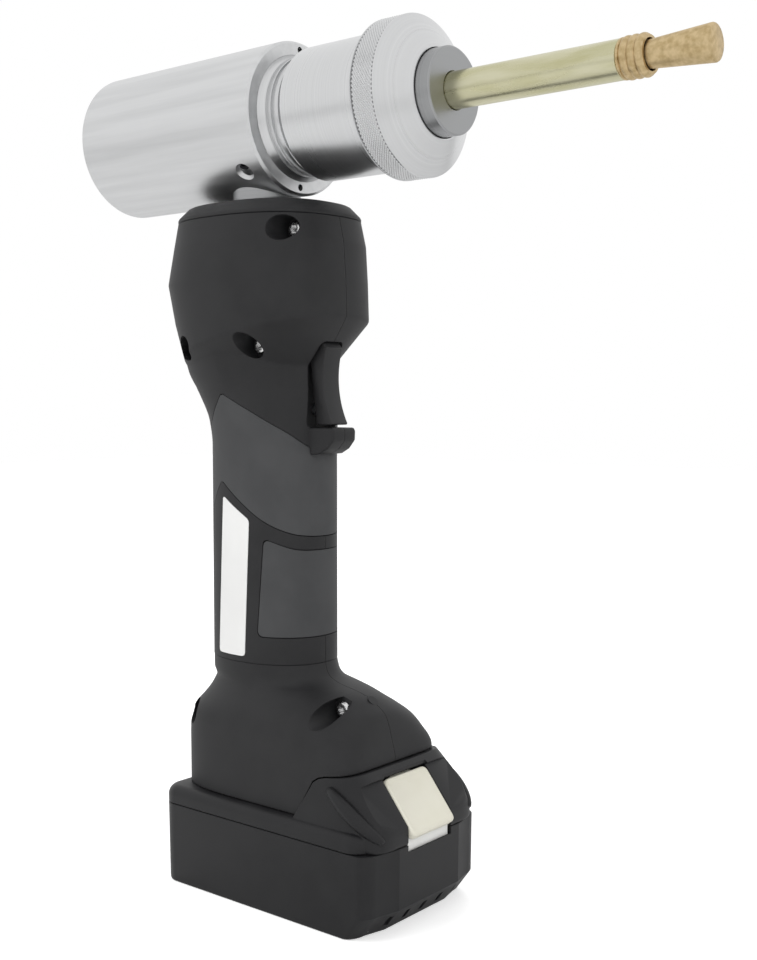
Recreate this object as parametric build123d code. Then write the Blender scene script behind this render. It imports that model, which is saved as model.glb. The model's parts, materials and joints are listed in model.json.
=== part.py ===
from build123d import *
import math
import os

# Plug installation tool, a battery driven hydraulic puller, in millimetres.
# X runs forward along the head, Y to the tool's left and Z up.
# The origin is on the floor, under the axis of the handle.

# Fits shared by all pieces
slip = 0.05  # radial clearance of a running fit
gap = 0.4  # space between pieces that move past each other
wide = 60.0  # half length of a cutter that passes right through
oval_points = 24  # points round a rounded section

# Battery pack
pack_rear = -32.3
pack_length = 114.0
pack_width = 72.0
pack_corner = 8.0
pack_wall = 2.4
case_height = 33.2
case_draft = 0.8
case_round = 1.0
heel_round = 8.0
toe_length = 7.0
toe_height = 9.5
slit_count = 5
slit_width = 5.0
slit_pitch = 10.5
slit_depth = 1.4
ledge_height = 7.1
ledge_round = 4.0
ledge_front = 72.0
tongue_rear = -23.0
tongue_web = 18.0
tongue_flange = 22.0
tongue_height = 14.5
flange_thickness = 5.0
cell_radius = 9.0
cell_length = 63.0
cell_pitch = 18.4
cell_count = 5
cell_first = -13.9
holder_thickness = 8.0
holder_inner = 22.0
link_width = 8.0
link_thickness = 0.3
board_thickness = 1.4
pack_screw_radius = 1.2
pack_screw_head = 2.1
pack_boss = 2.7
pack_screw_y = 28.0

# Release button
button_half_width = 13.3
button_top = (69.3, 55.9)
button_tip = (84.6, 36.9)
button_thickness = 3.2
button_travel = 4.0
leg_rear = 78.4
leg_thickness = 2.2
leg_bottom = 25.5
guide_wall = 2.7
guide_depth = 9.0
hook_half_width = 7.0
hook_rear = 56.0
spring_wire_radius = 3.0

# Foot of the handle
foot_wall = 2.4
foot_half_width = 31.0
foot_seam_z = 94.0
rail_bottom = 43.5
terminal_y = 12.0
terminal_thickness = 1.0
terminal_length = 10.0
terminal_rear = -10.0
clip_thickness = 0.8
indicator_radius = 2.2

# Handle and housing
housing_wall = 2.4
grip_rear = -28.0
grip_front = 28.0
grip_half_width = 21.3
grip_squareness = 2.2
grip_top = 176.0
grip_depth = 1.5
grip_groove = 0.35
grip_beyond = 46.0
lower_grip_corner = 3.0
shoulder_z = 224.0
bulge_top = 273.2
crease_z = 225.5
crease_tilt = 13.0
chin_slope = 0.8
chin_below = 14.0
chin_above = 30.0
collar_height = 6.5
collar_land = 1.8
collar_slope = 4.5
label_thickness = 0.25

# Trigger
trigger_half_width = 5.0
pivot_x = 27.0
pivot_z = 227.0
pivot_radius = 1.5
hub_radius = 3.6
slot_half_width = 9.0
slot_floor = 23.0
slot_wall = 2.0
hook_top = 189.7
trigger_bottom = 190.8
nose_wall_x = 32.8
rest_half_width = 7.0
rest_round = 0.5

# Screws of the housing and foot
screw_radius = 1.6
screw_head = 3.2
screw_head_height = 2.2
screw_well = 5.0
screw_boss = 5.8

# Motor and gears
motor_radius = 17.5
motor_wall = 1.5
motor_bottom = 104.0
motor_length = 62.0
armature_radius = 14.5
shaft_radius = 1.6
gear_module = 0.8
sun_teeth = 12
planet_teeth = 12
planet_count = 3
gear_face_width = 9.5
ring_bottom_wall = 1.5
ring_length = 18.0
tooth_root_share = 0.28
tooth_tip_share = 0.10
addendum = 0.8
dedendum = 1.1
planet_pin_radius = 1.5
carrier_thickness = 4.0
carrier_shaft_radius = 4.0
cover_height = 10.0
bearing_radius = 10.0
bearing_height = 6.8
eccentric_radius = 6.5
eccentric_offset = 1.5
eccentric_height = 8.0
plunger_radius = 3.5
pump_low_radius = 16.0
pump_high_radius = 23.0
pump_step_z = 232.0

# Head
head_z = 314.0
neck_x = -3.5
neck_radius = 12.0
neck_bottom = 240.0
neck_flare = 15.4
neck_top_radius = 14.0
neck_seat = 4.0
cylinder_radius = 30.5
cylinder_rear = -85.8
cylinder_front = 15.3
cylinder_chamfer = 1.0
cylinder_bore = 24.0
cylinder_end_wall = 10.0
mouth_radius = 25.0
mouth_depth = 15.0
spanner_radius = 27.3
spanner_hole = 1.35
spanner_depth = 3.4
hub_ring_radius = 23.5
hub_ring_front = 18.0
groove_depth = 1.2
sleeve_rear = 28.0
sleeve_front = 75.0
sleeve_radius = 26.0
sleeve_bore = 21.0
spigot_length = 12.0
rod_radius = 9.0
piston_length = 12.0
piston_front = -8.0
seal_width = 3.0
seal_height = 2.8
ram_stroke = 8.0
cap_rear = 66.0
cap_knurl_front = 77.3
cap_front = 85.8
cap_radius = 29.9
cap_nose = 16.9
washer_thickness = 1.2
bush_radius = 16.1
bush_front = 92.0
bush_flange = 20.4
bush_flange_thickness = 4.0
tube_radius = 6.8
tube_bore = 4.9
tube_rear = 77.0
tube_front = 161.2
ring_front = 171.0
ring_land = 6.95
rib_crest = 7.25
rib_valley = 6.45
rib_count = 3
rib_pitch = 2.8
pin_small = 4.7
pin_large = 6.3
pin_rear = 161.8
pin_tip = 193.7
pin_chamfer = 0.7
stud_radius = 2.5
stud_rear = 48.0
stud_thread = 4.5
port_radius = 3.0
port_angle = 42.0
port_x = 4.0

# Heights and places worked out from the sizes above
pack_front = pack_rear + pack_length
deck_z = case_height + ledge_height
foot_bottom = deck_z + gap
tongue_top = deck_z + tongue_height
collar_top = bulge_top + collar_height
pump_top = bulge_top - 2 * slot_wall
motor_top = motor_bottom + motor_length
ring_top = motor_top + ring_length
cover_top = ring_top + cover_height
nodes = {}


def bar(axis, radius, start, end, u=0.0, v=0.0):
    # Round bar along one axis; u and v place it on the other two, in X, Y, Z order.
    turn = {"X": Rot(0, 90, 0), "Y": Rot(-90, 0, 0), "Z": Rot(0, 0, 0)}[axis]
    place = {"X": (start, u, v), "Y": (u, start, v), "Z": (u, v, start)}[axis]
    return Pos(*place) * turn * Cylinder(radius, end - start, align=(Align.CENTER, Align.CENTER, Align.MIN))


def tube(axis, outer, inner, start, end, u=0.0, v=0.0):
    return bar(axis, outer, start, end, u, v) - bar(axis, inner, start, end, u, v)


def block(x, y, z):
    # Box between a pair of limits on each axis.
    middle = [(low + high) / 2 for low, high in (x, y, z)]
    return Pos(*middle) * Box(x[1] - x[0], y[1] - y[0], z[1] - z[0])


def side_prism(points, half_width):
    # Outline in X and Z, drawn out to both sides of the middle plane.
    face = Face(Wire.make_polygon([(x, -half_width, z) for x, z in points], close=True))
    return extrude(face, amount=2 * half_width, dir=(0, 1, 0))


def side_solid(edges, half_width):
    # Outline of edges drawn in the plane y = 0, thickened to both sides.
    return extrude(Face(Wire(edges)), amount=half_width, dir=(0, 1, 0), both=True)


def turned(points):
    # Outline of axial places and radii, turned about the axis of the head.
    face = Face(Wire.make_polygon([(x, 0, head_z + r) for x, r in points], close=True))
    return revolve(face, axis=Axis((0, 0, head_z), (1, 0, 0)))


def spun(points, x=0.0):
    # Outline of radii and heights, turned about an upright axis.
    face = Face(Wire.make_polygon([(x + r, 0, z) for r, z in points], close=True))
    return revolve(face, axis=Axis((x, 0, 0), (0, 0, 1)))


def oval(section, inset=0.0, drop=0.0):
    # Rounded section: height, rear, front, half width, squareness, and that of the rear where it differs.
    z, rear, front, half_width = section[:4]
    half_depth = (front - rear) / 2 - inset
    points = []
    for i in range(oval_points):
        c = math.cos(math.tau * i / oval_points)
        s = math.sin(math.tau * i / oval_points)
        squareness = section[-1] if c < 0 else section[4]
        reach = (abs(c) ** squareness + abs(s) ** squareness) ** (-1 / squareness)
        x = (rear + front) / 2 + half_depth * c * reach
        points.append(Vector(x, (half_width - inset) * s * reach, z - drop))
    steps = [i / oval_points for i in range(oval_points + 1)]
    return Face(Wire([Edge.make_spline(points, periodic=True, parameters=steps)]))


def oval_loft(sections, inset=0.0, drop=0.0):
    # Lofts a few sections at a time, so that the skin stays calm between them.
    faces = [oval(section, inset, drop) for section in sections]
    solid = loft(faces[:4])
    for i in range(3, len(faces) - 1, 3):
        solid += loft(faces[i : i + 4])
    return solid


def half(shape, side):
    # The part of a shape on one side of the middle plane: -1 is the right half and 1 the left half.
    limits = (-2 * wide, 0) if side < 0 else (0, 2 * wide)
    return shape & block((-4 * wide, 4 * wide), limits, (-wide, 8 * wide))


def rounded_plate(x, half_width, corner, z):
    # Rounded rectangle at one height.
    plate = RectangleRounded(x[1] - x[0], 2 * half_width, corner)
    return Pos((x[0] + x[1]) / 2, 0, z) * plate


# Sections of the grip, its shoulder, the bulge above it and the foot below it
shoulder_sections = [
    (grip_top, grip_rear, grip_front, grip_half_width, grip_squareness),
    (grip_top + 6, grip_rear, grip_front, grip_half_width, grip_squareness),
    (grip_top + 16, grip_rear - 1, grip_front, grip_half_width + 1, grip_squareness),
    (grip_top + 27, grip_rear - 6, grip_front, grip_half_width + 3.4, 2.1),
    (grip_top + 37, grip_rear - 12, grip_front + 0.4, grip_half_width + 6.2, 1.9),
    (shoulder_z, grip_rear - 14, grip_front + 2, grip_half_width + 8, 1.75),
    (shoulder_z + 12, grip_rear - 14, grip_front + 4, grip_half_width + 8.4, 1.75),
    (bulge_top, grip_rear - 11, grip_front + 4.5, grip_half_width + 8, 2.2),
]
bulge_sections = [
    (shoulder_z - 14, grip_rear - 11, grip_front + 12.4, grip_half_width + 11.7, 2.5),
    (shoulder_z + 24.5, grip_rear - 18.5, grip_front + 11.4, grip_half_width + 12.2, 2.5),
    (bulge_top - 10, grip_rear - 14.6, grip_front + 10.3, grip_half_width + 11.7, 2.5),
    (bulge_top, grip_rear - 12.4, grip_front + 8, grip_half_width + 10.5, 2.5),
]
foot_sections = [
    (foot_bottom, -31.6, 66.0, foot_half_width, 8.0, 4.0),
    (60.5, -31.6, 64.6, foot_half_width, 8.0, 4.0),
    (68.0, -31.6, 62.7, foot_half_width - 0.6, 5.0, 4.0),
    (73.0, -31.3, 61.3, foot_half_width - 2, 3.6),
    (77.0, -30.8, 59.3, foot_half_width - 4.2, 2.6),
    (80.0, -30.3, 55.5, foot_half_width - 6.4, 2.2),
    (82.5, -29.9, 51.0, foot_half_width - 8, 2.0),
    (84.4, -29.5, 44.5, foot_half_width - 9, 1.9),
    (86.0, -29.1, 36.0, foot_half_width - 9.4, 1.95),
    (88.5, -28.5, 30.4, grip_half_width, 2.15),
    (91.0, -28.1, 28.8, grip_half_width, grip_squareness),
    (foot_seam_z, grip_rear, grip_front, grip_half_width, grip_squareness),
]
nose_block_sections = [
    (case_height, pack_rear, pack_front, pack_width / 2 - 0.6, 9.0),
    (38.0, pack_rear, pack_front, pack_width / 2 - 1.2, 9.0),
    (44.0, pack_rear, pack_front - 1.6, pack_width / 2 - 2.6, 8.0),
    (50.0, pack_rear, pack_front - 5.4, pack_width / 2 - 4, 8.0),
    (56.0, pack_rear, pack_front - 12, foot_half_width, 8.0),
    (62.0, pack_rear, pack_front - 19, foot_half_width, 8.0),
]
underside = [(40.0, foot_bottom), (48.5, 55.5), (51.2, 57.3), (54.5, 58.2), (90.0, 62.6)]


def grip_shell(inset):
    # Solid of the straight grip and its shoulder, drawn in by an inset.
    straight = extrude(oval(shoulder_sections[0], inset), amount=grip_top - foot_seam_z, dir=(0, 0, -1))
    return straight + oval_loft(shoulder_sections, inset)


grip_solid = grip_shell(0)
grip_core = grip_shell(grip_depth)
grip_cavity = grip_shell(housing_wall) & block((-wide, wide), (-wide, wide), (0, pump_top))


# Battery case
def heel_waste(radius):
    # What lies outside a rounding of the lower rear edge, about the centre of the outer rounding.
    center = (pack_rear + heel_round, heel_round)
    corner = block((pack_rear - 1, center[0]), (-wide, wide), (-1, center[1]))
    return corner - bar("Y", radius, -wide, wide, *center)


def make_battery_case():
    pack_x = (pack_rear, pack_front)
    outer_plate = rounded_plate(pack_x, pack_width / 2, pack_corner, case_height)
    case = extrude(outer_plate, amount=case_height, dir=(0, 0, -1), taper=case_draft)
    case = fillet(case.edges().filter_by(Plane.XY).group_by(Axis.Z)[0], case_round)
    toe = [
        (pack_front - toe_length, -1),
        (pack_front - toe_length, 0),
        (pack_front, toe_height),
        (pack_front + 9, toe_height),
        (pack_front + 9, -1),
    ]
    case -= side_prism(toe, pack_width)
    case -= heel_waste(heel_round)
    inner_x = (pack_rear + pack_wall, pack_front - pack_wall)
    inner_plate = rounded_plate(inner_x, pack_width / 2 - pack_wall, pack_corner - pack_wall, case_height)
    hollow = extrude(inner_plate, amount=case_height - pack_wall, dir=(0, 0, -1), taper=case_draft)
    hollow -= side_prism([(x - 2 * pack_wall, z + pack_wall) for x, z in toe], pack_width)
    hollow -= heel_waste(heel_round - pack_wall)
    leg_front = leg_rear + leg_thickness
    guide_x = (leg_rear - 2 * pack_wall, pack_front - pack_wall / 2)
    guide_half = button_half_width + guide_wall
    hollow -= block(guide_x, (-guide_half, guide_half), (leg_bottom - guide_depth, case_height))
    for x in pack_screw_x:
        for y in (-pack_screw_y, pack_screw_y):
            hollow -= bar("Z", pack_boss, 0, case_height, x, y)
    case -= hollow
    leg_slot = (leg_rear - gap, leg_front + gap)
    leg_sides = (-button_half_width - gap, button_half_width + gap)
    case -= block(leg_slot, leg_sides, (leg_bottom - button_travel - gap, case_height + 1))
    case -= block((leg_slot[0], pack_front + 5), leg_sides, (button_foot_z, case_height + 1))
    for x in pack_screw_x:
        for y in (-pack_screw_y, pack_screw_y):
            case -= bar("Z", pack_screw_head + slip, -1, 2 * pack_wall, x, y)
            case -= bar("Z", pack_screw_radius + slip, 0, case_height + 1, x, y)
    tilt = math.degrees(math.atan2(toe_height, toe_length))
    for i in range(slit_count):
        y = (i - (slit_count - 1) / 2) * slit_pitch
        slit = Rot(0, -tilt, 0) * Box(slit_width, slit_width / 2, 2 * slit_depth)
        case -= Pos(pack_front - toe_length / 2, y, toe_height / 2) * slit
    return case


button_foot_z = 30.4
pack_screw_x = (pack_rear + pack_wall + pack_boss + 0.6, pack_front - toe_length - pack_boss - 0.3)
nodes["battery_case"] = make_battery_case()


# Battery cover: ledge, raised front block and the tongue that enters the foot
def make_battery_cover():
    ledge_plate = rounded_plate((pack_rear, ledge_front), pack_width / 2, pack_corner, case_height)
    ledge = extrude(ledge_plate, amount=ledge_height)
    ledge = fillet(ledge.edges().filter_by(Plane.XY).group_by(Axis.Z)[-1], ledge_round)
    front_x = underside[0][0] + gap
    above = [(x + gap, z - gap) for x, z in underside]
    keep = [(front_x, case_height)] + above + [(pack_front + 9, above[-1][1]), (pack_front + 9, case_height)]
    nose = oval_loft(nose_block_sections) & side_prism(keep, wide)
    tongue_x = (tongue_rear, front_x + 4)
    tongue = block(tongue_x, (-tongue_web, tongue_web), (deck_z - 1, tongue_top))
    tongue += block(tongue_x, (-tongue_flange, tongue_flange), (tongue_top - flange_thickness, tongue_top))
    cover = ledge + nose + tongue
    inner_x = (pack_rear + pack_wall, pack_front - pack_wall)
    inner_plate = rounded_plate(inner_x, pack_width / 2 - ledge_round, pack_corner - pack_wall, case_height)
    hollow = extrude(inner_plate, amount=holder_top + gap - case_height)
    for x in pack_screw_x:
        for y in (-pack_screw_y, pack_screw_y):
            hollow -= bar("Z", pack_boss, case_height, deck_z, x, y)
    cover -= hollow
    cover -= block((-20, 36), (-tongue_web + 1, tongue_web - 1), (case_height, slot_floor_z - 1.1))
    for y in (-terminal_y, terminal_y):
        slot_x = (tongue_rear - 1, terminal_rear + terminal_length + 2)
        cover -= block(slot_x, (y - 2, y + 2), (slot_floor_z, tongue_top + 1))
    button_room = [
        (button_top[0] - gap, 66),
        (button_top[0] - gap, button_top[1] + 0.6),
        (button_top[0] - 4.1, button_top[1] - 2.6),
        (button_top[0] - 4.1, deck_z + 0.7),
        (leg_rear - 5, deck_z + 0.7),
        (leg_rear - gap, deck_z - 5.4),
        (leg_rear - gap, case_height - 1),
        (pack_front + 9, case_height - 1),
        (pack_front + 9, 66),
    ]
    cover -= side_prism(button_room, button_half_width + gap)
    hook_floor = button_top[1] - 3.4 - button_travel - gap
    hook_x = (hook_rear - gap, button_top[0] - 1)
    cover -= block(hook_x, (-hook_half_width - gap, hook_half_width + gap), (hook_floor, button_top[1] + 0.6))
    tooth_x = (hook_rear - gap, hook_rear + 4.5 + gap)
    cover -= block(tooth_x, (-hook_half_width - gap, hook_half_width + gap), (hook_floor, 66))
    for x in pack_screw_x:
        for y in (-pack_screw_y, pack_screw_y):
            cover -= bar("Z", pack_screw_radius + slip, case_height - 1, deck_z - 2.2, x, y)
    return cover


cell_z = [pack_wall + 0.1 + cell_radius, pack_wall + 0.3 + 3 * cell_radius]
holder_top = cell_z[1] + cell_radius + 0.2
slot_floor_z = deck_z + 4.2
nodes["battery_cover"] = make_battery_cover()


# Release button with its leg, spring boss and latch hook
def make_battery_button():
    run = button_tip[0] - button_top[0]
    fall = button_top[1] - button_tip[1]
    slope = math.hypot(run, fall)
    inward = (-fall / slope * button_thickness, -run / slope * button_thickness)
    pad = [
        button_top,
        button_tip,
        (button_tip[0] + inward[0], button_tip[1] + inward[1]),
        (button_top[0] + inward[0], button_top[1] + inward[1]),
    ]
    button = side_prism(pad, button_half_width)
    leg_top = button_tip[1] + 2.2
    leg_sides = (-button_half_width, button_half_width)
    button += block((leg_rear, leg_rear + leg_thickness), leg_sides, (leg_bottom, leg_top))
    hook_low = button_top[1] - 3.4
    button += bar("Z", spring_wire_radius, spring_top, hook_low + 0.2, spring_x, 0)
    hook_sides = (-hook_half_width, hook_half_width)
    button += block((hook_rear, button_top[0] - 1.5), hook_sides, (hook_low, button_top[1] - 1.2))
    tooth_top = underside[3][1] - gap
    button += block((hook_rear, hook_rear + 4.5), hook_sides, (hook_low, tooth_top))
    return button


spring_x = button_top[0] - 0.6
spring_top = button_top[1] - 9.4
spring_seat = deck_z + 0.7
nodes["battery_button"] = make_battery_button()
spring_bore = spring_wire_radius - 1
nodes["button_spring"] = tube("Z", spring_wire_radius, spring_bore, spring_seat, spring_top, spring_x)

# Cells in two rows, the plates that hold them and the links across their ends
cells = []
links = []
cell_places = [cell_first + i * cell_pitch for i in range(cell_count)]
for x in cell_places:
    for z in cell_z:
        cells.append(bar("Y", cell_radius, -cell_length / 2, cell_length / 2, x, z))
    for side in (-1, 1):
        ends = sorted((side * cell_length / 2, side * (cell_length / 2 + link_thickness)))
        link_x = (x - link_width / 2, x + link_width / 2)
        links.append(block(link_x, ends, (cell_z[0] - link_width / 2, cell_z[1] + link_width / 2)))
nodes["battery_cells"] = Compound(children=[cell.solids()[0] for cell in cells])
nodes["cell_links"] = Compound(children=[link.solids()[0] for link in links])

holder_x = (cell_places[0] - cell_radius + 1, cell_places[-1] + cell_radius - 1)
holder_plates = []
for side in (-1, 1):
    faces = sorted((side * holder_inner, side * (holder_inner + holder_thickness)))
    plate = block(holder_x, faces, (pack_wall, holder_top))
    for x in cell_places:
        for z in cell_z:
            plate -= bar("Y", cell_radius + slip, -wide, wide, x, z)
    holder_plates.append(plate)
nodes["cell_holder"] = Compound(children=[solid for plate in holder_plates for solid in plate.solids()])

board_z = (holder_top, holder_top + board_thickness)
pack_board = block((-17, 33), (-tongue_web + 2, tongue_web - 2), board_z)
nodes["pack_board"] = pack_board
clips = []
for y in (-terminal_y, terminal_y):
    for side in (-1, 1):
        near = terminal_thickness / 2 + gap
        faces = sorted((y + side * near, y + side * (near + clip_thickness)))
        clip_x = (terminal_rear + 1, terminal_rear + terminal_length - 1)
        clips.append(block(clip_x, faces, (slot_floor_z, tongue_top - 1)))
nodes["pack_terminals"] = Compound(children=[clip.solids()[0] for clip in clips])
pack_screws = []
for x in pack_screw_x:
    for y in (-pack_screw_y, pack_screw_y):
        screw = bar("Z", pack_screw_radius, pack_wall, deck_z - 2.4, x, y)
        screw += bar("Z", pack_screw_head, pack_wall, 2 * pack_wall, x, y)
        pack_screws.append(screw.solids()[0])
nodes["battery_screws"] = Compound(children=pack_screws)


# Foot halves with rails for the tongue, wells for their screws and a floor under the front
foot_screws = [(45.7, 78.6, -8.0), (-24.5, 70.0, -17.0)]
housing_screws = [(27.5, 267.3, -15.0), (11.3, 222.3, -18.0), (-23.2, 222.0, -20.0)]


def less_bosses(hollow, screws):
    # Leaves the bosses of through screws standing in a hollow.
    for x, z, head_y in screws:
        hollow -= bar("Y", screw_boss, head_y - 2, -head_y, x, z)
    return hollow


def less_screws(shell, screws):
    # Cuts the wells and the holes of through screws.
    for x, z, head_y in screws:
        shell -= bar("Y", screw_well, -wide, head_y, x, z)
        shell -= bar("Y", screw_radius + slip, head_y - 1, -head_y - 1, x, z)
    return shell


def make_screws(screws):
    made = []
    for x, z, head_y in screws:
        screw = bar("Y", screw_head, head_y - screw_head_height, head_y, x, z)
        screw += bar("Y", screw_radius, head_y, -head_y - 2, x, z)
        screw -= bar("Y", screw_radius, head_y - screw_head_height - 1, head_y - screw_head_height / 2, x, z)
        made.append(screw.solids()[0])
    return Compound(children=made)


def make_foot():
    hollow = less_bosses(oval_loft(foot_sections, foot_wall, foot_wall), foot_screws)
    for side in (-1, 1):
        rail_y = sorted((side * (tongue_web + gap), side * (foot_half_width - 1)))
        rail = block((-30, underside[0][0]), rail_y, (rail_bottom, tongue_top - flange_thickness - gap))
        hollow -= rail
    floor = [(x - foot_wall, z + foot_wall) for x, z in underside[1:]]
    hollow -= side_prism(underside[1:] + floor[::-1], wide)
    shell = less_screws(oval_loft(foot_sections) - hollow, foot_screws)
    below = [(underside[0][0], 0)] + underside + [(underside[-1][0], 0)]
    shell -= side_prism(below, wide)
    shell -= block((-10, 24), (-8, 8), (foot_seam_z - 2 * foot_wall, foot_seam_z + 1))
    hook_room = (-hook_half_width - gap, hook_half_width + gap)
    shell -= block((hook_rear - gap, hook_rear + 4.5 + gap), hook_room, (50, 64))
    shell -= indicator_bar(indicator_radius + slip, 4.0)
    return shell


def indicator_bar(radius, depth):
    # Short window set square to the sloping front of the foot, on the seam.
    return Pos(52.3, 0, 80.6) * Rot(0, 40, 0) * Cylinder(radius, depth)


foot = make_foot()
nodes["foot_right"] = half(foot, -1)
nodes["foot_left"] = half(foot, 1)
nodes["foot_screws"] = make_screws(foot_screws)
nodes["indicator_window"] = indicator_bar(indicator_radius, 3.0)

# Terminal block that stands on the rails, its blades, the control board and the leads
rail_top = tongue_top - flange_thickness - gap
terminal_z = (tongue_top + 2.3, tongue_top + 6.3)
terminal_block = block((-12, 20), (-26.5, 26.5), terminal_z)
for side in (-1, 1):
    leg_y = sorted((side * (tongue_flange + 1), side * 26.5))
    terminal_block += block((-10, 16), leg_y, (rail_top, terminal_z[0]))
    for x in (-9, 16):
        terminal_block += bar("Z", 2, terminal_z[1], terminal_z[1] + 3, x, side * 15)
nodes["terminal_block"] = terminal_block
blades = []
for y in (-terminal_y, terminal_y):
    blade_y = (y - terminal_thickness / 2, y + terminal_thickness / 2)
    blade_x = (terminal_rear, terminal_rear + terminal_length)
    blades.append(block(blade_x, blade_y, (slot_floor_z + 1.4, terminal_z[0])))
nodes["tool_terminals"] = Compound(children=[blade.solids()[0] for blade in blades])
control_z = (terminal_z[1] + 3, terminal_z[1] + 3 + board_thickness)
control_board = block((-12, 38), (-20, 20), control_z)
control_board += bar("Z", 4, control_z[1], control_z[1] + 9, 28, 10)
control_board += block((10, 17), (-14, -4), (control_z[1], control_z[1] + 4))
control_board += block((-8, -2), (-16, 16), (control_z[1], control_z[1] + 3))
nodes["control_board"] = control_board
lead_radius = 1.1
motor_leads = [bar("Z", lead_radius, control_z[1], motor_bottom, 4, y) for y in (-6, 6)]
nodes["motor_leads"] = Compound(children=[lead.solids()[0] for lead in motor_leads])


# Housing halves: grip, shoulder, bulge, hook and trigger slot
def make_bulge():
    # Straight facets between the sections, drawn in below a tilted crease line.
    faces = [oval(section) for section in bulge_sections]
    solid = loft(faces[:2])
    for i in range(1, len(faces) - 1):
        solid += loft(faces[i : i + 2])
    rim = (0, grip_rear - 14.6, grip_front + 13.4, grip_half_width + 11.9, 2.5)
    low = oval(rim, chin_slope * chin_below, chin_below)
    high = oval(rim, -chin_slope * chin_above, -chin_above)
    chin = Pos(0, 0, crease_z) * Rot(0, -crease_tilt, 0) * loft([low, high])
    return solid & chin


def make_housing():
    outer = grip_solid + make_bulge()
    rest = [
        (grip_front - 4, hook_top),
        (38.0, hook_top),
        (38.8, hook_top - 1.2),
        (38.5, hook_top - 5.2),
        (35.4, hook_top - 9),
        (grip_front - 1, hook_top - 14),
        (grip_front - 4, hook_top - 14),
    ]
    rest_edges = side_prism(rest, rest_half_width).edges().filter_by(Axis.Y).sort_by(Axis.X)
    finger_rest = fillet(rest_edges[-2:], rest_round)
    outer += finger_rest
    slot_box = ((slot_floor - slot_wall, wide), (-slot_half_width - 2, slot_half_width + 2))
    hollow = grip_cavity - block(*slot_box, (hook_top - 5, pivot_z + 7))
    shell = less_screws(outer - less_bosses(hollow, housing_screws), housing_screws)
    shell -= block((slot_floor, wide), (-slot_half_width, slot_half_width), (hook_top, shoulder_z))
    hub_room = trigger_half_width + gap
    shell -= block((slot_floor - 1, nose_wall_x), (-hub_room, hub_room), (shoulder_z - 1, pivot_z + 5))
    shell -= bar("Y", pivot_radius + slip, -pin_half_length - slip, pin_half_length + slip, pivot_x, pivot_z)
    shell -= bar("X", 2.0, slot_floor - slot_wall - 1, slot_floor + 1, 0, switch_z)
    shell -= bar("Z", neck_radius + 1, pump_top - 1, bulge_top + 1, neck_x)
    return shell


pin_half_length = slot_half_width + 1.5
switch_z = 208.0


# Outlines of the two grips, drawn in side view
def side_curve(points, x_shift, z_shift):
    # Smooth curve in side view, moved as a whole.
    return Spline(*[(x + x_shift, 0, z + z_shift) for x, z in points])


def upper_outline(grow):
    crown = side_curve([(-22, 187.6), (-12.6, 196.8), (-5.6, 203.2)], 0, grow)
    fall = side_curve([(-5.6, 203.2), (11.2, 194.2), (22, 187), (29, 178.6)], 0, grow)
    lower = side_curve([(29, 145.8), (21.9, 147.6), (10, 153.6), (-10.8, 167.8)], 0, -grow)
    spine = side_curve([(-17, 160), (-20.8, 150), (-21.6, 140)], grow, 0)
    beyond = [fall @ 1, (grip_beyond, 0, 178.6 + grow), (grip_beyond, 0, 145.8 - grow), lower @ 0]
    behind = [spine @ 1, (-21.6 + grow, 0, 112 - grow), (-grip_beyond, 0, 112 - grow)]
    behind += [(-grip_beyond, 0, 187.6 + grow), crown @ 0]
    joints = [Line(lower @ 1, spine @ 0)]
    for stretch in (beyond, behind):
        joints += [Line(a, b) for a, b in zip(stretch, stretch[1:])]
    return [crown, fall, lower, spine] + joints


def lower_outline(grow):
    points = [
        (grip_beyond, 140.2 + grow),
        (24.6, 140.2 + grow),
        (12.6 - grow, 145 + grow),
        (9.6 - grow, 105.2 - grow),
        (grip_beyond, 105.2 - grow),
    ]
    return FilletPolyline(*[(x, 0, z) for x, z in points], radius=lower_grip_corner, close=True).edges()


def make_grip(outline, grow):
    ring = grip_solid - grip_core
    return ring & side_solid(outline(grow), wide)


housing = make_housing()
for outline in (upper_outline, lower_outline):
    housing -= make_grip(outline, grip_groove)
nodes["upper_grip"] = make_grip(upper_outline, 0.0)
nodes["lower_grip"] = make_grip(lower_outline, 0.0)
nodes["housing_right"] = half(housing, -1)
nodes["housing_left"] = half(housing, 1)
nodes["housing_screws"] = make_screws(housing_screws)

# Top collar
collar_section = bulge_sections[-1]
collar = extrude(oval(collar_section), amount=collar_land)
collar += loft([oval(collar_section, 0, -collar_land), oval(collar_section, collar_slope, -collar_height)])
collar -= bar("Z", neck_radius + gap, bulge_top - 1, collar_top + 1, neck_x)
nodes["top_collar"] = collar

# Bare label plate on the right side of the grip
label_points = [(-9.4, 161.6), (5.8, 152.4), (3.2, 96.4), (-13.2, 96.4)]
label_outline = FilletPolyline(*[(x, -wide, z) for x, z in label_points], radius=1.6, close=True)
label_prism = extrude(Face(Wire(label_outline.edges())), amount=wide, dir=(0, 1, 0))
nodes["label_plate"] = (grip_shell(-label_thickness) - grip_solid) & label_prism


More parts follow.
